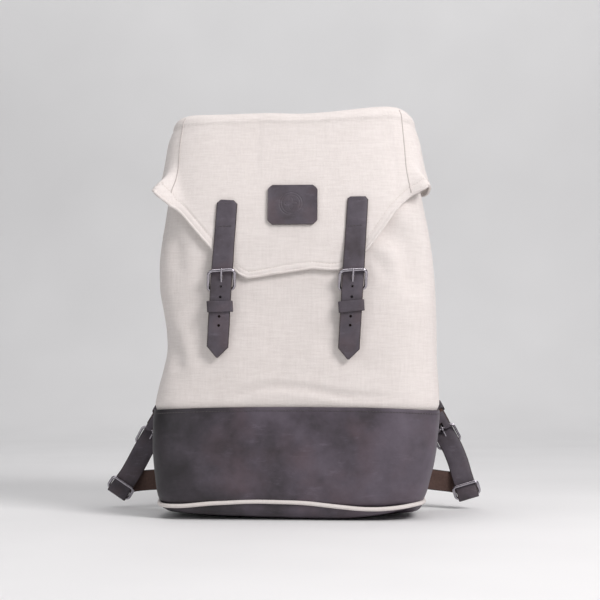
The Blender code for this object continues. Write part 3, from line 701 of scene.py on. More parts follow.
def make_lining():
    """The cotton lining with its own floor, and the rolled hem at the mouth."""
    rows = [canvas_row(z, CANVAS_T + 0.0004) for z in np.linspace(MOUTH_Z, LEATHER_TOP - 0.004, 60)]
    rows += [[outline(t, z, -0.0062) for t in ALL_ROUND] for z in np.linspace(0.110, 0.014, 14)]
    mesh = grid_mesh(rows, closed=True)
    mesh.faces.new(ring_of(mesh, rows[-1]))
    shell = new_piece("lining_shell", mesh, lining_cloth)
    face_outwards(shell)
    solidify(shell, 0.0010, -1.0)
    fit(shell, "lining", "bag", "lining")
    path = []
    for t in ALL_ROUND:
        point = outline(t, MOUTH_Z, -0.0014)
        point.z += 0.0018 + 0.0008 * ripple(point, 0.05, 61.0)
        path.append(point)
    hem = tube("mouth_roll", path, 0.0022, canvas_plain, closed=True, sides=12)
    fit(hem, "canvas", "bag", "mouth_hem")


def make_canvas():
    """The canvas body and the seams at its back corners."""
    rows = [canvas_row(z) for z in np.linspace(LEATHER_TOP - 0.010, MOUTH_Z, 96)]
    body = new_piece("canvas_body", grid_mesh(rows[::-1], closed=True), canvas)
    face_outwards(body)
    solidify(body, CANVAS_T, -1.0)
    fit(body, "canvas", "bag", "canvas_front", "canvas_back", "canvas_left", "canvas_right")
    seams = []
    for t in (0.110, 0.390):
        path = []
        for z in np.linspace(LEATHER_TOP + 0.001, MOUTH_Z - 0.002, 60):
            point = outline(t, z)
            path.append(outline(t, z, relief(point) + 0.0001))
        seams.append(path)
    seam_lines("canvas_seams", seams, "bag")


# ---------------------------------------------------------------- the leather band and bottom
# tables of x and height
PIPING_DIP = (
    (-0.154, -0.146, -0.120, -0.095, -0.045, 0.010, 0.050, 0.080, 0.105, 0.125, 0.145),
    (0.0150, 0.0142, 0.0145, 0.0178, 0.0206, 0.0195, 0.0150, 0.0122, 0.0130, 0.0158, 0.0190),
)
CORNER_LIFT = ((-0.150, -0.136, -0.100, -0.040, 0.010, 0.055, 0.090, 0.112, 0.130),
               (0.0095, 0.0060, 0.0034, 0.0018, 0.0006, 0.0000, 0.0030, 0.0066, 0.0120))


def piping_z(t):
    """Height of the piping, which is level behind and dips along the front."""
    point = outline(t, 0.02)
    dipped = softened(point.x, PIPING_DIP, 0.012)
    return 0.018 + (dipped - 0.018) * ease(clamp((-point.y - 0.01) / 0.04))


def band_relief(point):
    """How far the leather stands in or out."""
    return 0.0007 * ripple(point, 0.045, 11.0) + 0.0004 * ripple(point, 0.016, 13.0)


def make_leather_band():
    """The leather round the bag's foot, with a line of stitches along its top."""
    rows = []
    for share in np.linspace(0, 1, 34):
        row = []
        for t in ALL_ROUND:
            low, high = piping_z(t) + 0.0012, band_top(t)
            z = low + (high - low) * share
            swell = 0.0010 * math.sin(math.pi * share)
            row.append(outline(t, z, 0.0005 + swell + band_relief(outline(t, z))))
        rows.append(row)
    band = new_piece("leather_band", grid_mesh(rows[::-1], closed=True), (leather, edge_leather))
    face_outwards(band)
    solidify(band, LEATHER_T, -1.0, edge_slot=1, bevel=0.0005)
    fit(band, "leather", "bag", "base_front", "base_back", "base_left", "base_right")
    line = []
    for t in [*ALL_ROUND, ALL_ROUND[0] + 1]:
        turn = t % 1.0
        z = band_top(turn) - 0.0042
        place = outline(turn, z, 0.0009 + band_relief(outline(turn, z)))
        line.append((place, outward(place)))
    fit(stitches("band_stitches", [line], dark_thread), "leather", "bag")


def make_bottom():
    """The leather bottom, lifted at its corners, and the piping round it."""
    rows = []
    profile = ((0.00, -0.0008), (0.12, -0.0006), (0.35, -0.0012), (0.60, -0.0034), (0.80, -0.0070),
               (0.93, -0.0120), (1.00, -0.0200), (1.00, -0.0300), (1.00, -0.0450))
    for drop, grow in profile:
        row = []
        for t in ALL_ROUND:
            start = outline(t, 0.020)
            floor = softened(start.x, CORNER_LIFT, 0.012) * min(max(-start.y / 0.04, 0.35), 1.0)
            floor += 0.0001
            z = (piping_z(t) - 0.0012) * (1 - drop) + floor * drop
            point = outline(t, 0.020, grow + band_relief(outline(t, z)) * (1 - drop))
            point.z = z if grow > -0.025 else max(floor * (1 + (grow + 0.02) / 0.03), 0.0001)
            row.append(point)
        rows.append(row)
    mesh = grid_mesh(rows, closed=True)
    mesh.faces.new(ring_of(mesh, rows[-1]))
    bottom = new_piece("leather_bottom", mesh, (leather, edge_leather))
    face_outwards(bottom)
    solidify(bottom, LEATHER_T, -1.0, edge_slot=1)
    fit(bottom, "leather", "bag", "bottom_panel")

    path = []
    for t in ALL_ROUND:
        point = outline(t, 0.020, 0.0008 + 0.0003 * ripple(outline(t, 0.02), 0.02, 4.0))
        point.z = piping_z(t)
        path.append(point)
    piping = tube("cream_piping", path, 0.0023, canvas_plain, closed=True, sides=12)
    fit(piping, "canvas", "bag", "bottom_piping")


# ---------------------------------------------------------------- the flap
FLAP_OUT = 0.0040
FLAP_RIM = 0.4310
# the lower edge: a table of x and height
FLAP_LOW = (
    (-0.1390, -0.1310, -0.0860, -0.0640, -0.0570, -0.0470, -0.0300, 0.0000,
     0.0210, 0.0400, 0.0500, 0.0570, 0.0800, 0.1125, 0.1380, 0.1413),
    (0.3590, 0.3430, 0.2955, 0.2745, 0.2680, 0.2636, 0.2662, 0.2722,
     0.2742, 0.2722, 0.2727, 0.2765, 0.2950, 0.3350, 0.3600, 0.3640),
)
EAR_LEFT, EAR_RIGHT = -0.5 + 0.104, -0.104
SKIRT_END = 0.070
HALF = 150
TAUS = even_turns(0.0, 0.5, HALF)


def flap_low(t):
    """Height of the flap's lower edge at a turn between its two rear ends."""
    if EAR_LEFT < t < EAR_RIGHT:
        x = outline(t, 0.34, FLAP_OUT).x * 1.04
        return float(np.interp(x, *FLAP_LOW))
    if t >= EAR_RIGHT:
        return 0.3640 + 0.004 * min((t - EAR_RIGHT) / 0.05, 1.0)
    return 0.3590 + 0.005 * min((EAR_LEFT - t) / 0.05, 1.0)


def hem_stretch(t):
    """How much longer the way up the flap is than the way square to its lower edge."""
    run = (outline(t + 0.002, 0.34) - outline(t - 0.002, 0.34)).length
    slope = (flap_low(t + 0.002) - flap_low(t - 0.002)) / max(run, 1e-4)
    return math.sqrt(1 + min(slope * slope, 2.2))


def flap_point(t, z, low):
    """The flap's outside on its front and sides."""
    point = outline(t, z)
    ear = 0.0
    for place, size in ((EAR_LEFT - 0.004, 0.0180), (EAR_RIGHT + 0.004, 0.0135)):
        ear += size * bell(t - place, 0.026) * bell(z - low, 0.017)
    on_side = 1.0 if t > EAR_RIGHT or t < EAR_LEFT else 0.0
    rear = min(abs(t - EAR_RIGHT), abs(t - EAR_LEFT)) / 0.1 * on_side
    loose = 0.0010 * ripple(point, 0.07, 21.0) + 0.0004 * ripple(point, 0.025, 23.0)
    near_edge = bell(z - low, 0.012)
    lift = 0.0016 * near_edge * (1 - on_side) + 0.0022 * near_edge * min(rear, 1.0)
    from_edge = (z - low) / hem_stretch(t)
    lift += 0.0003 / (1 + math.exp(min((from_edge - 0.0052) / 0.0004, 40.0)))
    lift -= 0.0006 * bell(from_edge - 0.0060, 0.0009)
    height = clamp((z - 0.366) / (FLAP_RIM - 0.366))
    puff = bell(t - (0.0 if t > EAR_RIGHT - 0.05 else -0.5), 0.105)
    shoulder = 1 - (0.40 if t < -0.25 else 0.55) * (max(height - 0.72, 0.0) / 0.28) ** 2
    ear += (0.0098 if t < -0.25 else 0.0056) * puff * shoulder * (z > 0.30)
    under_strap = bell(abs(point.x) - 0.066, 0.016) * (1 - on_side)
    grow = FLAP_OUT + ear + max(loose, -0.0006) * (1 - under_strap) + lift * (1 - under_strap)
    if abs(point.x) < 0.035 and z > 0.315:
        grow = FLAP_OUT + (grow - FLAP_OUT) * 0.2
    return outline(t, z, grow)


# how far in and up each ring of the rolled rim lies
ROLL = ((0.0002, 0.0030), (0.0011, 0.0060), (0.0032, 0.0088), (0.0068, 0.0110), (0.0120, 0.0122))
# the uneven ridge: a table of x and rise
RIDGE = (
    (-0.142, -0.130, -0.120, -0.100, -0.060, -0.025, 0.010, 0.040, 0.070, 0.095, 0.112, 0.124,
     0.137),
    (-0.001, 0.0030, 0.0042, 0.0048, 0.0056, 0.0064, 0.0048, 0.0068, 0.0100, 0.0124, 0.0126, 0.0096,
     0.002),
)
HEM_STEPS = (0.0, 0.0012, 0.0024, 0.0036, 0.0046, 0.0052, 0.0058, 0.0064, 0.0072, 0.0086, 0.0106)


def ridge(point):
    """How much the flap's top stands above its even shape. It is nothing at the back."""
    return softened(point.x, RIDGE, 0.009) * ease(clamp((0.062 - point.y) / 0.085))


def skirt_point(t, z, low):
    """The flap's outside below its rim, drawn up under the ridge."""
    point = flap_point(t, z, low)
    point.z += 0.72 * ridge(point) * ease(clamp((z - 0.390) / (FLAP_RIM - 0.390)))
    return point


def ridge_share(rise):
    """How much of the ridge's height the roll at the flap's rim takes up."""
    return 0.72 + 0.28 * min(rise / 0.0090, 1.0)


def make_flap():
    """The flap: a skirt round the front and sides, a rolled rim, and a top that spans from it."""
    ring_turns = [t if t <= 0.25 else t - 1.0 for t in (*-TAUS, *TAUS[-2:0:-1])]
    count = len(ring_turns)
    mesh, uv = new_mesh()
    coords = {}

    def put(point, spot):
        v = mesh.verts.new(point)
        coords[v] = spot
        return v

    steps = 42
    skirt = []
    for t, run in zip(ring_turns, lengths([outline(t, 0.4) for t in ring_turns])):
        column = []
        if -0.5 - SKIRT_END <= t <= SKIRT_END:
            low = flap_low(t)
            stretch = hem_stretch(t)
            first = [low + d * stretch for d in HEM_STEPS]
            rest = np.linspace(first[-1], FLAP_RIM, steps + 2 - len(first))
            column = [put(skirt_point(t, z, low), (run, z)) for z in [*first, *rest[1:]]]
        skirt.append(column)
    for i in range(count):
        a, b = skirt[i], skirt[(i + 1) % count]
        if a and b:
            for k in range(steps):
                mesh.faces.new((a[k], b[k], b[k + 1], a[k + 1]))
    rings = []
    for k, (inset, rise) in enumerate(ROLL):
        ring = []
        for t in ring_turns:
            point = flap_point(t, FLAP_RIM, flap_low(t))
            point -= outward(point) * inset
            back = clamp((point.y - 0.045) / 0.022)
            sag = 0.0012 * ripple(point, 0.06, 31.0)
            height = FLAP_RIM + rise + sag * min(rise / 0.01, 1.0)
            height += (max(height, 0.4410) - height) * back
            point.z = height + ridge(point) * ridge_share(rise)
            point.y = min(point.y, 0.0722 - 0.004 * k * back)
            ring.append(put(point, (point.x, point.y)))
        rings.append(ring)
    for i in range(count):
        j = (i + 1) % count
        if skirt[i] and skirt[j]:
            mesh.faces.new((skirt[i][-1], skirt[j][-1], rings[0][j], rings[0][i]))
        for low_ring, high_ring in zip(rings, rings[1:]):
            mesh.faces.new((low_ring[i], low_ring[j], high_ring[j], high_ring[i]))
    last = rings[-1]
    span = 30
    lines = []
    for j in range(HALF + 1):
        front, back = last[j], last[(count - j) % count]
        line = [front]
        if 0 < j < HALF:
            for m in range(1, span):
                k = m / span
                point = front.co.lerp(back.co, k)
                dome = 0.0012 * math.sin(math.pi * k) * math.sin(math.pi * j / HALF) ** 0.5
                settle = ridge(point) - (ridge(front.co) * (1 - k) + ridge(back.co) * k)
                loose = 0.0022 * ripple(point, 0.055, 35.0) * math.sin(math.pi * k)
                point.z += dome + settle + loose
                line.append(put(point, (point.x, point.y)))
            line.append(back)
        lines.append(line)
    for j in range(HALF):
        a, b = lines[j], lines[j + 1]
        for m in range(span):
            if len(a) == 1:
                mesh.faces.new((a[0], b[m], b[m + 1]))
            elif len(b) == 1:
                mesh.faces.new((a[m], b[0], a[m + 1]))
            else:
                mesh.faces.new((a[m], b[m], b[m + 1], a[m + 1]))
    bmesh.ops.recalc_face_normals(mesh, faces=mesh.faces)
    for face in mesh.faces:
        for loop in face.loops:
            loop[uv].uv = coords[loop.vert]
    flap = new_piece("flap_canvas", mesh, canvas)
    face_outwards(flap)
    solidify(flap, CANVAS_T, -1.0)
    fit(flap, "canvas", "flap", "flap_panel", "flap_side_left", "flap_side_right")


def make_flap_hem():
    """The flap's rounded edge and the stitches beside it."""
    edge, line = [], []
    for t in np.linspace(-0.5 - SKIRT_END + 0.002, SKIRT_END - 0.002, 260):
        low = flap_low(t)
        point = flap_point(t, low, low)
        edge.append(point - outward(point) * (CANVAS_T / 2 - 0.0002))
        z = low + 0.0060 * hem_stretch(t)
        place = flap_point(t, z, low)
        line.append((place, outward(place)))
    hem = tube("flap_hem", edge, 0.0017, canvas_plain, sides=10)
    fit(hem, "canvas", "flap")
    fit(stitches("flap_hem_stitches", [line], cream_thread), "canvas", "flap")


def make_flap_seams():
    """The seams between the flap's front and its sides."""
    seams = []
    for middle, turn, start, far, near in ((-0.5, 1, 0.358, 0.122, 0.101),
                                           (0.0, -1, 0.356, 0.133, 0.112)):
        path = []
        for z in np.linspace(start, FLAP_RIM, 40):
            t = middle + turn * float(np.interp(z, (start, FLAP_RIM), (far, near)))
            path.append(skirt_point(t, z, flap_low(t)))
        for inset, rise in ROLL[:3]:
            point = flap_point(t, FLAP_RIM, flap_low(t))
            point -= outward(point) * inset
            point.z = FLAP_RIM + rise + ridge(point) * ridge_share(rise)
            path.append(point)
        seams.append(path)
    seam_lines("flap_seams", seams, "flap")


# ---------------------------------------------------------------- front straps
STRAP_W, STRAP_T = 0.0245, 0.0022
BILLET_W = 0.0236
TAB_W = 0.0215
STRAP_X = 0.0712
LEAN = math.radians(3.5)
LEAN_ACROSS = Vector((math.cos(LEAN), 0, math.sin(LEAN)))
KEEPER_Z = 0.2325
HEEL_Y, HEEL_Z = -0.0764, 0.2500  # the front buckles' lower bar


def strap_x(side, z):
    """Middle of a front strap at height z: both lean to the same side."""
    return side * STRAP_X - math.tan(LEAN) * max(0.350 - z, 0.0)


def billet_y(z):
    """Middle of a front strap: on the flap above, over the buckle's heel, then on the bag."""
    on_flap = front_y(STRAP_X, max(z, 0.30), FLAP_OUT + 0.0005 + STRAP_T / 2)
    heights = (0.172, 0.205, 0.222, 0.244, 0.262, 0.285, 0.310)
    places = (-0.0764, -0.0788, -0.0808, -0.0817, -0.0817, -0.0798, on_flap)
    return on_flap if z >= heights[-1] else float(np.interp(z, heights, places))


def drill(obj, radius, centre, stretch):
    """Cuts a hole along Y, stretched along its height, through a strap."""
    mesh = bmesh.new()
    bmesh.ops.create_cone(mesh, cap_ends=True, segments=24, radius1=radius, radius2=radius,
                          depth=0.02)
    place = Matrix.Translation(centre) @ Matrix.Rotation(math.pi / 2, 4, "X")
    cut_out(obj, mesh, place @ Matrix.Diagonal((1, stretch, 1, 1)))


def make_front_strap(label, side):
    """A strap sewn to the flap, with its holes and a pointed end."""
    top = 0.3485 if side < 0 else 0.3515
    tip = 0.1765 if side < 0 else 0.1745
    point, chamfer = 0.0115, 0.0038 if side < 0 else 0.0026
    heights = [tip, tip + 0.0030, tip + 0.0070, tip + 0.0108,
               *np.linspace(tip + point, top - 0.0045, 92),
               top - chamfer, top - chamfer * 0.5, top - 0.0004, top]
    path, widths = [], []
    for z in heights:
        crease = 0.0006 * bell(z - 0.3205, 0.0022)
        near_low = bell(z - tip, 0.03)
        wobble = 0.00035 * ripple((side, 0, z), 0.035, 40.0)
        y = billet_y(z) + crease * 0.8 + wobble - 0.0006 * near_low
        path.append(Vector((strap_x(side, z), y, z)))
        above, below = top - z, z - tip
        width = BILLET_W - 0.0008 * clamp((z - 0.27) / 0.06)
        width += 0.0005 * ripple((side, 1, z), 0.03, 43.0)
        if above < chamfer:
            width -= 2 * (chamfer - above) * 1.05
        if below < point:
            width *= 0.09 + 0.91 * below / point
        widths.append(width)
    made = strap(f"front_strap_{label}", path, LEAN_ACROSS, widths, STRAP_T, LEATHER_SIDES)
    for i in range(6):
        z = 0.2630 - 0.0105 * i + (0.0008 if i % 2 else 0.0)
        if abs(z - KEEPER_Z) > 0.009 and z > 0.200:
            place = Vector((strap_x(side, z), billet_y(z), z))
            drill(made, 0.0015 if i else 0.0019, place, 1.0 if i else 2.1)
    fit(made, "leather", "flap", f"flap_strap_{label}")

    lines = []
    for z in (top - 0.0034, 0.3195):
        half = 0.0062 if z > 0.33 else 0.0098
        line = []
        for s in np.linspace(-1, 1, 8):
            place = Vector((strap_x(side, z), billet_y(z) - STRAP_T / 2, z))
            line.append((place + LEAN_ACROSS * s * half, TO_FRONT))
        lines.append(line)
    fit(stitches(f"front_strap_stitches_{label}", lines, dark_thread), "leather", "flap")


def make_band(name, rows, thickness, body, node):
    """A leather loop round a strap."""
    band = new_piece(name, grid_mesh(rows, closed=True), (strap_leather, edge_leather))
    solidify(band, thickness, 0.0, edge_slot=1, bevel=0.0003)
    fit(band, "leather", body, node)


def make_keeper(label, side):
    """The leather loop on the bag that holds a front strap's end."""
    up = Vector((-math.sin(LEAN), 0, math.cos(LEAN)))
    inner_y, outer_y = -0.0774, -0.0842
    middle = Vector((strap_x(side, KEEPER_Z), (inner_y + outer_y) / 2, KEEPER_Z))
    tilt = 0.04 * side
    path = []
    for x, y in rounded_loop(STRAP_W / 2 + 0.0012, (outer_y - inner_y) / -2, 0.0018, 8):
        path.append(middle + LEAN_ACROSS * x + Vector((0, y, 0)) + up * x * tilt)
    rises = [up * (1 + 0.02 * ripple(p, 0.01, 5.0)) for p in path]
    rows = [[p + rise * (d * 0.0060 - 0.0006) for p, rise in zip(path, rises)]
            for d in np.linspace(-1, 1, 7)]
    make_band(f"keeper_{label}", rows, 0.0013, "bag", f"strap_keeper_{label}")


def make_tab(label, side):
    """The thin tab that holds the buckle's bottom bar."""
    thin = 0.0012
    turn = 0.0015 + 0.0005 + thin / 2
    bends = [(HEEL_Y + turn, z) for z in np.linspace(0.206, HEEL_Z - 0.002, 16)]
    for i in range(13):
        angle = math.pi * i / 12
        bends.append((HEEL_Y + turn * math.cos(angle), HEEL_Z + turn * math.sin(angle)))
    bends += [(HEEL_Y - turn, z) for z in (0.2470, 0.2440, 0.2415)]
    path = [Vector((strap_x(side, z), y, z)) for y, z in bends]
    tab = strap(f"tab_{label}", path, LEAN_ACROSS, [TAB_W] * len(path), thin, LEATHER_SIDES[::-1])
    drill(tab, 0.0031, Vector((strap_x(side, HEEL_Z), HEEL_Y, HEEL_Z + 0.0015)), 2.4)
    fit(tab, "leather", "bag", f"buckle_tab_{label}")


def make_flap_patch():
    """The leather badge on the flap, pressed with plain rings and a star."""
    half_w, half_h, middle = 0.0272, 0.0220, 0.343
    columns, lines = 132, 108
    rows = []
    for j in range(lines + 1):
        v = 2 * j / lines - 1
        z = middle + half_h * v
        tight = max(abs(v) - 0.76, 0.0) / 0.24
        half = half_w - 0.0052 * tight ** 1.4
        row = []
        for i in range(columns + 1):
            x = half * (2 * i / columns - 1)
            d = math.hypot(x + 0.0015, z - middle - 0.0010)
            ring = bell(d - 0.0125, 0.0006) + 0.7 * bell(d - 0.0100, 0.0005)
            star = 0.0
            if d < 0.0092:
                angle = math.atan2(z - middle - 0.0010, x + 0.0015)
                star = 0.8 * bell(d - 0.0048 - 0.0020 * math.cos(4 * angle), 0.0006)
            curl = 0.0007 * max(abs(v), abs(x) / half_w) ** 8
            grow = FLAP_OUT + 0.0012 + curl - 0.00035 * (ring + star)
            row.append(Vector((x, front_y(x, z, grow), z)))
        rows.append(row)
    patch = new_piece("flap_badge", grid_mesh(rows[::-1]), (strap_leather, edge_leather))
    face_outwards(patch)
    solidify(patch, 0.0018, 0.6, edge_slot=1, bevel=0.0004)
    fit(patch, "leather", "flap", "flap_patch")
    line = []
    for x, v in rounded_loop(half_w - 0.0028, half_h - 0.0028, 0.0048):
        z = middle + v
        line.append((Vector((x, front_y(x, z, FLAP_OUT + 0.0026), z)), TO_FRONT))
    line.append(line[0])
    fit(stitches("badge_stitches", [line], dark_thread, pitch=0.0028), "leather", "flap")


# ---------------------------------------------------------------- the back's leather
def leather_patch(name, centre, half_w, half_h, thickness, corner, node, bulge=0.0006):
    """A leather patch on the bag's back, with a line of stitches inside its edge."""
    cx, cy, cz = centre
    outer = rounded_loop(half_w, half_h, corner)
    mesh, uv = new_mesh()
    rims = []
    for sign in (1, -1):
        grid = []
        for share in (0.0, 0.3, 0.6, 0.85, 0.95, 1.0):
            row = []
            for x, z in outer if share else [(0.0, 0.0)]:
                place = Vector((cx + x * share, cy, cz + z * share))
                rise = thickness / 2 - 0.0004 * share ** 12
                if sign > 0:
                    rise += bulge * (1 - share * share) - 0.0003 * bell(share - 0.86, 0.05)
                    rise += 0.0003 * ripple(place, 0.012, 51.0) * (1 - share ** 4)
                row.append(mesh.verts.new(place + TO_BACK * sign * rise))
            grid.append(row)
        hub, *grid = grid
        for a, b in zip(grid[0], grid[0][1:] + grid[0][:1]):
            mesh.faces.new((hub[0], a, b))
        for upper, lower in zip(grid, grid[1:]):
            quads(mesh, lower, upper)
        rims.append(grid[-1])
    for face in quads(mesh, *rims):
        face.material_index = 1
    for face in mesh.faces:
        for loop in face.loops:
            loop[uv].uv = (loop.vert.co.x, loop.vert.co.z)
    bmesh.ops.recalc_face_normals(mesh, faces=mesh.faces)
    patch = new_piece(name, mesh, (strap_leather, edge_leather))
    fit(patch, "leather", "bag", node)
    line = []
    inset = min(0.0026, half_w * 0.3)
    for x, z in rounded_loop(half_w - inset, half_h - inset, max(corner - inset, 0.0008)):
        place = Vector((cx + x, cy + thickness / 2 + 0.0001, cz + z))
        line.append((place, TO_BACK))
    line.append(line[0])
    fit(stitches(name + "_stitches", [line], dark_thread, pitch=0.0030), "leather", "bag")


def middle_of(node):
    """A node's middle and its half size."""
    low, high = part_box(node)
    return (low + high) / 2, (high - low) / 2


def make_back_trim():
    """The yoke, and the patches that hold the handle and the shoulder straps."""
    centre, half = middle_of("back_yoke")
    leather_patch("yoke_patch", centre, half.x, half.z, LEATHER_T, 0.008, "back_yoke", 0.0)
    for label, _ in SIDES:
        for node, name, corner in (("strap_root", "root_patch", 0.003),
                                   ("handle_foot", "foot_patch", 0.003),
                                   ("corner_patch", "corner_badge", 0.006)):
            centre, half = middle_of(f"{node}_{label}")
            leather_patch(f"{name}_{label}", centre, half.x, half.z, half.y * 2, corner,
                          f"{node}_{label}")


def make_handle():
    """The rolled grab handle: a leather tube with a sewn seam, narrower at its feet."""
    half, drop, low_y, low_z = 0.030, 0.040, 0.0842, 0.406
    path = []
    for i in range(49):
        angle = math.pi * i / 48
        sag = math.sin(angle) ** 0.8
        path.append(Vector((half * math.cos(angle), low_y + 0.004 * sag, low_z - drop * sag)))
    handle = tube("rolled_handle", path, lambda k: 0.0046 - 0.0007 * abs(2 * k - 1) ** 3,
                  strap_leather, sides=20, hint=TO_BACK)
    fit(handle, "leather", "handle", "grab_handle")
    line = []
    for place, _, _, out in frames_along(path, TO_BACK):
        away = (TO_BACK * 0.35 + out).normalized()
        line.append((place + away * 0.0046, away))
    fit(stitches("handle_stitches", [line[3:-3]], dark_thread), "leather", "handle")


# ---------------------------------------------------------------- shoulder straps
PAD_W, SHOULDER_T, FOLD_T = 0.046, 0.0032, 0.0012
NECK = Vector((0.0640, 0.0960, 0.3675))
BAR_HALF, HEEL_LIFT, NOSE_DROP = 0.0100, 0.0058, 0.0031
LOOP_HALF_H, LOOP_SHIFT = 0.0065, 0.0034
BUCKLE_AT = {"left": (-0.1835, 0.1010, 0.0800), "right": (0.1735, 0.1010, 0.0840)}
LOOP_AT = {"left": (-0.2150, 0.0840, 0.0235), "right": (0.1960, 0.0840, 0.0225)}
SHOULDER_RUN = {"left": (-0.36, -0.30, -0.68), "right": (0.36, -0.30, -0.68)}
LOOP_RUN = {"left": (-0.040, -0.012, -0.060), "right": (0.020, -0.012, -0.066)}
FLAT = Vector((1, 0, 0))


def local_axes(run):
    """Down the strap, across it, and out of it towards the front."""
    down = Vector(run).normalized()
    cross = TO_BACK.cross(-down).normalized()
    front = cross.cross(down).normalized()
    return (down, cross, front) if front.y < 0 else (down, cross, -front)


def flat_path(controls, steps):
    """Path, directions across and widths through (place, across, width) controls."""
    places = centripetal([c[0] for c in controls], steps)
    hints, widths = [], []
    for i in range(len(places)):
        k, share = divmod(i / steps, 1)
        k = min(int(k), len(controls) - 1)
        j = min(k + 1, len(controls) - 1)
        hints.append(Vector(controls[k][1]).lerp(Vector(controls[j][1]), share).normalized())
        widths.append(controls[k][2] + (controls[j][2] - controls[k][2]) * share)
    return places, hints, widths


def edge_stitches(name, path, hints, widths, thickness, inset, first, last, faces=(1, -1)):
    """Stitch lines along both edges of a strap, on its chosen faces."""
    frames = frames_along(path, hints)
    lines = []
    for face in faces:
        for edge in (-1, 1):
            line = []
            for (place, _, side, out), width in list(zip(frames, widths))[first:last]:
                spot = place + side * edge * (width / 2 - inset) + out * face * thickness / 2
                line.append((spot, out * face))
            lines.append(line)
    return stitches(name, lines, dark_thread)


def shoulder_place(label):
    """The shoulder buckle's middle and its lower bar, then down, across and out of the strap."""
    buckle, axes = Vector(BUCKLE_AT[label]), local_axes(SHOULDER_RUN[label])
    return buckle, buckle - axes[0] * BAR_HALF + axes[2] * HEEL_LIFT, *axes


def make_shoulder_pad(label, side):
    """The shoulder strap, which bends where it leaves its root."""
    _, heel, down, cross, _ = shoulder_place(label)
    neck = Vector((side * NECK.x, NECK.y, NECK.z))
    pad = [
        (Vector((side * 0.062, 0.0778, 0.391)), FLAT, PAD_W),
        (Vector((side * 0.063, 0.0840, 0.3800)), FLAT, PAD_W),
        (neck, FLAT, PAD_W),
        (Vector((side * 0.080, 0.1400, 0.285)), FLAT, PAD_W),
        (Vector((side * 0.101, 0.1520, 0.210)), FLAT, PAD_W),
        (Vector((side * 0.126, 0.1400, 0.150)), FLAT.lerp(cross, 0.6), STRAP_W + 0.008),
        (heel - down * 0.042, cross, STRAP_W),
        (heel - down * 0.032, cross, STRAP_W),
        (heel - down * 0.0052, cross, STRAP_W),
    ]
    path, hints, widths = flat_path(pad, 12)
    made = strap(f"shoulder_pad_{label}", path, hints, widths, 0.0028, LEATHER_SIDES)
    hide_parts(f"shoulder_strap_{label}", f"strap_neck_{label}")
    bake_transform(made)
    thread = edge_stitches(f"pad_stitches_{label}", path, hints, widths, 0.0028, 0.0028, 2, -8)
    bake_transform(thread)


def make_fold(label):
    """The strap's end, folded round the buckle's lower bar, with a slot for the pin."""
    _, heel, down, cross, front = shoulder_place(label)
    fold_r = 0.0015 + 0.0004 + FOLD_T / 2
    fold = [heel - down * d - front * fold_r for d in np.linspace(0.022, 0.001, 12)]
    for i in range(15):
        angle = math.pi * i / 14
        fold.append(heel - front * fold_r * math.cos(angle) + down * fold_r * math.sin(angle))
    fold += [heel - down * d + front * fold_r for d in np.linspace(0.001, 0.018, 10)]
    wrap = strap(f"pad_fold_{label}", fold, cross, [TAB_W] * len(fold), FOLD_T, LEATHER_SIDES)
    mesh = bmesh.new()
    bmesh.ops.create_cube(mesh, size=1.0)
    turned = Matrix((cross, front, down)).transposed().to_4x4()
    size = Matrix.Diagonal((0.0062, 0.016, 0.014, 1))
    cut_out(wrap, mesh, Matrix.Translation(heel + down * 0.0015) @ turned @ size)
    fit(wrap, "leather", f"shoulder_{label}", f"strap_fold_{label}")


def make_pad_keeper(label):
    """The loop that holds the lower strap's tail against the shoulder strap."""
    buckle, _, down, cross, front = shoulder_place(label)
    inner, outer = HEEL_LIFT + SHOULDER_T / 2 + 0.0013, -STRAP_T / 2 - 0.0013
    middle = buckle - down * (BAR_HALF + 0.027) + front * (inner + outer) / 2
    outer_loop = rounded_loop(STRAP_W / 2 + 0.0015, (inner - outer) / 2, 0.0016)
    rows = [[middle + down * d + cross * x + front * y for x, y in outer_loop]
            for d in np.linspace(-0.005, 0.005, 6)]
    make_band(f"pad_keeper_{label}", rows, 0.0012, f"shoulder_{label}", f"tail_keeper_{label}")


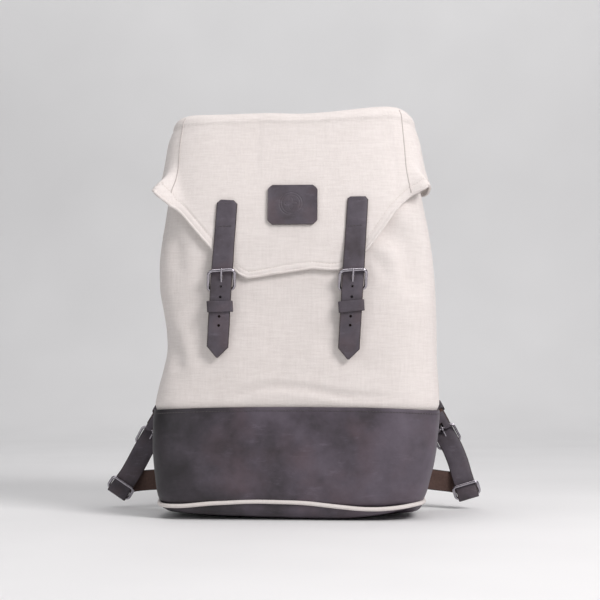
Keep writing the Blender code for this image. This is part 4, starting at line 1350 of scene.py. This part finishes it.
def make_lower_strap(label, side):
    """From its tail above the buckle, down round the loop's bar and back to the bag's corner."""
    buckle, _, down, cross, _ = shoulder_place(label)
    loop = Vector(LOOP_AT[label])
    run, loop_cross, loop_front = local_axes(LOOP_RUN[label])
    bar = loop + run * LOOP_HALF_H - loop_front * LOOP_SHIFT
    turn = LOOP_SHIFT
    up = Vector((0, 0, 1)) * side
    end = Vector((side * 0.130, 0.0785, 0.036))
    sewn_y = 0.0777
    controls = [
        (buckle - down * 0.049, cross),
        (buckle - down * 0.043, cross),
        (buckle - down * 0.020, cross),
        (buckle - down * 0.005, cross),
        (buckle + down * 0.010, cross),
        (buckle + down * 0.015, cross),
        ((buckle + down * 0.024).lerp(loop - run * 0.026, 0.5), cross.lerp(loop_cross, 0.5)),
        (loop - run * 0.020, loop_cross),
        (loop - run * 0.012, loop_cross),
        (loop - run * 0.002, loop_cross),
        (bar + loop_front * turn, loop_cross),
        (bar + (run + loop_front) * turn * 0.707, loop_cross),
        (bar + run * turn, loop_cross),
        (bar + (run - loop_front) * turn * 0.707, loop_cross),
        (bar - loop_front * turn, loop_cross),
        (bar - loop_front * (turn + 0.0035) - run * 0.012, loop_cross.lerp(up, 0.15)),
        (end + Vector((side * 0.028, 0.010, -0.002)), loop_cross.lerp(up, 0.8)),
        (end + Vector((side * 0.012, 0.003, 0.0)), up),
        (end, up),
        (Vector((side * 0.122, sewn_y, 0.0372)), up),
        (Vector((side * 0.102, sewn_y, 0.0376)), up),
    ]
    widths = [STRAP_W * 0.45] + [STRAP_W] * (len(controls) - 1)
    controls = [(place, across, width) for (place, across), width in zip(controls, widths)]
    path, hints, widths = flat_path(controls, 10)
    made = strap(f"lower_leather_{label}", path, hints, widths, STRAP_T, LEATHER_SIDES[::-1])
    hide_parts(f"lower_strap_{label}")
    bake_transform(made)
    box = ((0.105, 0.0285), (0.121, 0.0285), (0.121, 0.0465), (0.105, 0.0465), (0.105, 0.0285))
    line = []
    for (x0, z0), (x1, z1) in zip(box, box[1:]):
        for k in np.linspace(0, 1, 12)[:-1]:
            x, z = side * (x0 + (x1 - x0) * k), z0 + (z1 - z0) * k
            line.append((Vector((x, sewn_y + STRAP_T / 2 + 0.0001, z)), TO_BACK))
    fit(stitches(f"lower_stitches_{label}", [line], dark_thread), "leather", "bag")


# ---------------------------------------------------------------- buckles and loops
FRAME_WIRE, FRAME_HALF, PRONG_R = 0.0015, 0.0142, 0.0012


def wire_loop(name, heel, nose, across, half_w, radius, corner, node, body):
    """A wire frame between the middles of its lower and upper bars."""
    span, centre = nose - heel, (heel + nose) / 2
    up = span.normalized()
    outer = rounded_loop(half_w, span.length / 2, corner, 10)
    path = [centre + across * x + up * y for x, y in outer]
    out = across.cross(up).normalized()
    loop = tube(name, path, radius, nickel, closed=True, sides=16, hint=out)
    fit(loop, "nickel", body, node)


def wire_prong(name, heel, nose, across, over, node, body):
    """A pin with an eye round the buckle's lower bar. It lies over the upper bar."""
    along = (nose - heel).normalized()
    out = across.cross(along).normalized()
    if out.dot(over) < 0:
        out = -out
    reach = (nose - heel).length
    rise = FRAME_WIRE + 0.0003 + PRONG_R
    ring = [heel + along * rise * math.cos(a) + out * rise * math.sin(a)
            for a in np.linspace(0, 2 * math.pi, 29)[:-1]]
    eye = tube(name + "_eye", ring, PRONG_R, nickel, closed=True, sides=12, hint=across)
    path = centripetal([
        heel + along * (rise - 0.0003) + out * 0.0004,
        heel + out * (rise * 0.55) + along * (reach * 0.5),
        heel + out * rise + along * (reach - 0.0035),
        heel + out * (rise + 0.0002) + along * reach,
        heel + out * (rise - 0.0002) + along * (reach + 0.0036),
    ], 8)
    shank = tube(name + "_shank", path, lambda k: PRONG_R * (1.05 - 0.35 * k ** 6), nickel,
                 sides=12, hint=across)
    prong = join(name, [eye, shank])
    fit(prong, "nickel", body, node)


def make_metal(label, side):
    """Both buckles with their pins, and the lower strap's loop."""
    heel = Vector((strap_x(side, HEEL_Z), HEEL_Y, HEEL_Z))
    nose = Vector((strap_x(side, 0.2706), -0.0858, 0.2706))
    wire_loop(f"strap_buckle_{label}", heel, nose, LEAN_ACROSS, FRAME_HALF, 0.0018, 0.0048,
              f"buckle_frame_{label}", f"buckle_{label}")
    wire_prong(f"strap_pin_{label}", heel, nose, LEAN_ACROSS, TO_FRONT, f"buckle_prong_{label}",
               f"prong_{label}")

    buckle, heel, down, across, front = shoulder_place(label)
    nose = buckle + down * BAR_HALF - front * NOSE_DROP
    wire_loop(f"pad_buckle_{label}", heel, nose, across, FRAME_HALF, FRAME_WIRE, 0.0045,
              f"strap_frame_{label}", f"shoulder_{label}")
    wire_prong(f"pad_pin_{label}", heel, nose, across, -front, f"strap_prong_{label}",
               f"shoulder_prong_{label}")

    run, across, front = local_axes(LOOP_RUN[label])
    loop, half = Vector(LOOP_AT[label]), run * LOOP_HALF_H - front * LOOP_SHIFT
    wire_loop(f"lower_ring_{label}", loop + half, loop - half, across, 0.0145, 0.0018, 0.0035,
              f"strap_loop_{label}", f"loop_{label}")


def make_stiffener():
    """The stiff board inside the bottom, which only shows with the bag open."""
    low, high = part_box("base_board")
    middle = (low + high) / 2
    rows = [[Vector((middle.x + x * share, middle.y + y * share, high.z + 0.0040))
             for x, y in rounded_loop(0.104, 0.044, 0.022)] for share in (0.5, 0.9, 1.0)]
    mesh = grid_mesh(rows, closed=True)
    mesh.verts.ensure_lookup_table()
    mesh.faces.new(mesh.verts[:len(rows[0])])
    board = new_piece("stiffener", mesh, lining_cloth)
    solidify(board, 0.0020, 0.0)
    fit(board, "board", "bag", "base_board")


def make_seam_strip():
    """The strip that joins the flap to the back, from one end of the flap's skirt to the other."""
    rows = []
    for z, grow in ((0.4245, 0.0004), (0.4268, 0.0013), (0.4330, 0.0017), (0.4385, 0.0016),
                    (0.4412, 0.0004)):
        row = []
        for t in even_turns(SKIRT_END - 0.004, 0.5 - SKIRT_END + 0.004, 90):
            place = outline(t, min(z, MOUTH_Z), grow)
            row.append(Vector((place.x, min(place.y, 0.0747), z)))
        rows.append(row)
    line = [(place + Vector((0, 0.0001, 0.0012)), outward(place)) for place in rows[1]]
    strip = new_piece("seam_strip", grid_mesh(rows), canvas_plain)
    solidify(strip, 0.0012, -1.0)
    bake(strip)
    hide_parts("flap_seam_strip")
    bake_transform(strip)
    fit(stitches("seam_strip_stitches", [line], cream_thread), "canvas", "bag")


# ---------------------------------------------------------------- the studio
def make_floor():
    """A pale floor that curves up into a backdrop."""
    profile = [(-4.0, 0.0), (1.9, 0.0)]
    turns = np.linspace(0, math.pi / 2, 14)[1:]
    profile += [(1.9 + 0.7 * math.sin(a), 0.7 - 0.7 * math.cos(a)) for a in turns]
    profile.append((2.6, 4.0))
    rows = [[Vector((x, y, z - 0.0004)) for x in (-5.0, 5.0)] for y, z in profile]
    look = Look("studio floor")
    grain = look.noise(look.place(), 3.0, 2.0)
    look.finish(look.ramp(grain, (0.3, 0.80), (0.7, 0.84)), Roughness=0.7)
    new_piece("studio_floor", grid_mesh(rows), look.material)


def area_light(name, place, aim, size, power, colour=(1, 1, 1)):
    """A soft lamp pointed at a place."""
    data = bpy.data.lights.new(name, "AREA")
    data.shape = "RECTANGLE"
    data.size, data.size_y = size
    data.energy = power
    data.color = colour
    obj = add_object(name, data)
    obj.location = place
    obj.rotation_euler = (Vector(aim) - Vector(place)).to_track_quat("-Z", "Y").to_euler()


def make_lights():
    """Soft studio light: a key on the right, a weak fill, a top light and a backdrop wash."""
    world = bpy.data.worlds.new("studio air")
    world.use_nodes = True
    background = world.node_tree.nodes["Background"]
    background.inputs[0].default_value = (0.95, 0.94, 0.97, 1)
    background.inputs[1].default_value = 0.28
    bpy.context.scene.world = world
    area_light("key", (1.35, -1.35, 1.50), (0, 0, 0.22), (0.8, 0.8), 37, (1.0, 0.972, 0.975))
    area_light("fill", (-1.3, -1.6, 0.75), (0, 0, 0.20), (1.1, 1.1), 5.2, (0.97, 1.0, 0.99))
    area_light("top", (-0.15, -0.25, 2.1), (0, 0, 0.20), (1.3, 0.9), 11.8, (1.0, 0.975, 0.98))
    area_light("backdrop wash", (0, 1.75, 2.5), (0, 2.6, 0.8), (4.0, 0.4), 17)
    bpy.context.scene.view_settings.view_transform = "Standard"


CAMERA_AZIMUTH, CAMERA_ELEVATION = 3.2, -3.0
CAMERA_DISTANCE, CAMERA_LENS = 1.62, 86.6
CAMERA_AIM = (0.0052, -0.02, 0.2418)


def make_camera():
    """A long lens, low and a little to the right of the bag's front."""
    data = bpy.data.cameras.new("camera")
    data.sensor_width = 36.0
    data.lens = CAMERA_LENS
    data.clip_start, data.clip_end = 0.05, 30
    obj = add_object("camera", data)
    a, e = math.radians(CAMERA_AZIMUTH), math.radians(CAMERA_ELEVATION)
    back = Vector((math.sin(a) * math.cos(e), -math.cos(a) * math.cos(e), math.sin(e)))
    obj.location = Vector(CAMERA_AIM) + back * CAMERA_DISTANCE
    obj.rotation_euler = (-back).to_track_quat("-Z", "Y").to_euler()
    bpy.context.scene.camera = obj


make_canvas()
make_lining()
make_leather_band()
make_bottom()
make_flap()
make_flap_hem()
make_flap_seams()
make_flap_patch()
for label, side in SIDES:
    make_front_strap(label, side)
    make_keeper(label, side)
    make_tab(label, side)
    make_shoulder_pad(label, side)
    make_fold(label)
    make_pad_keeper(label)
    make_lower_strap(label, side)
    make_metal(label, side)
make_back_trim()
make_handle()
make_stiffener()
make_seam_strip()
make_floor()
make_lights()
make_camera()
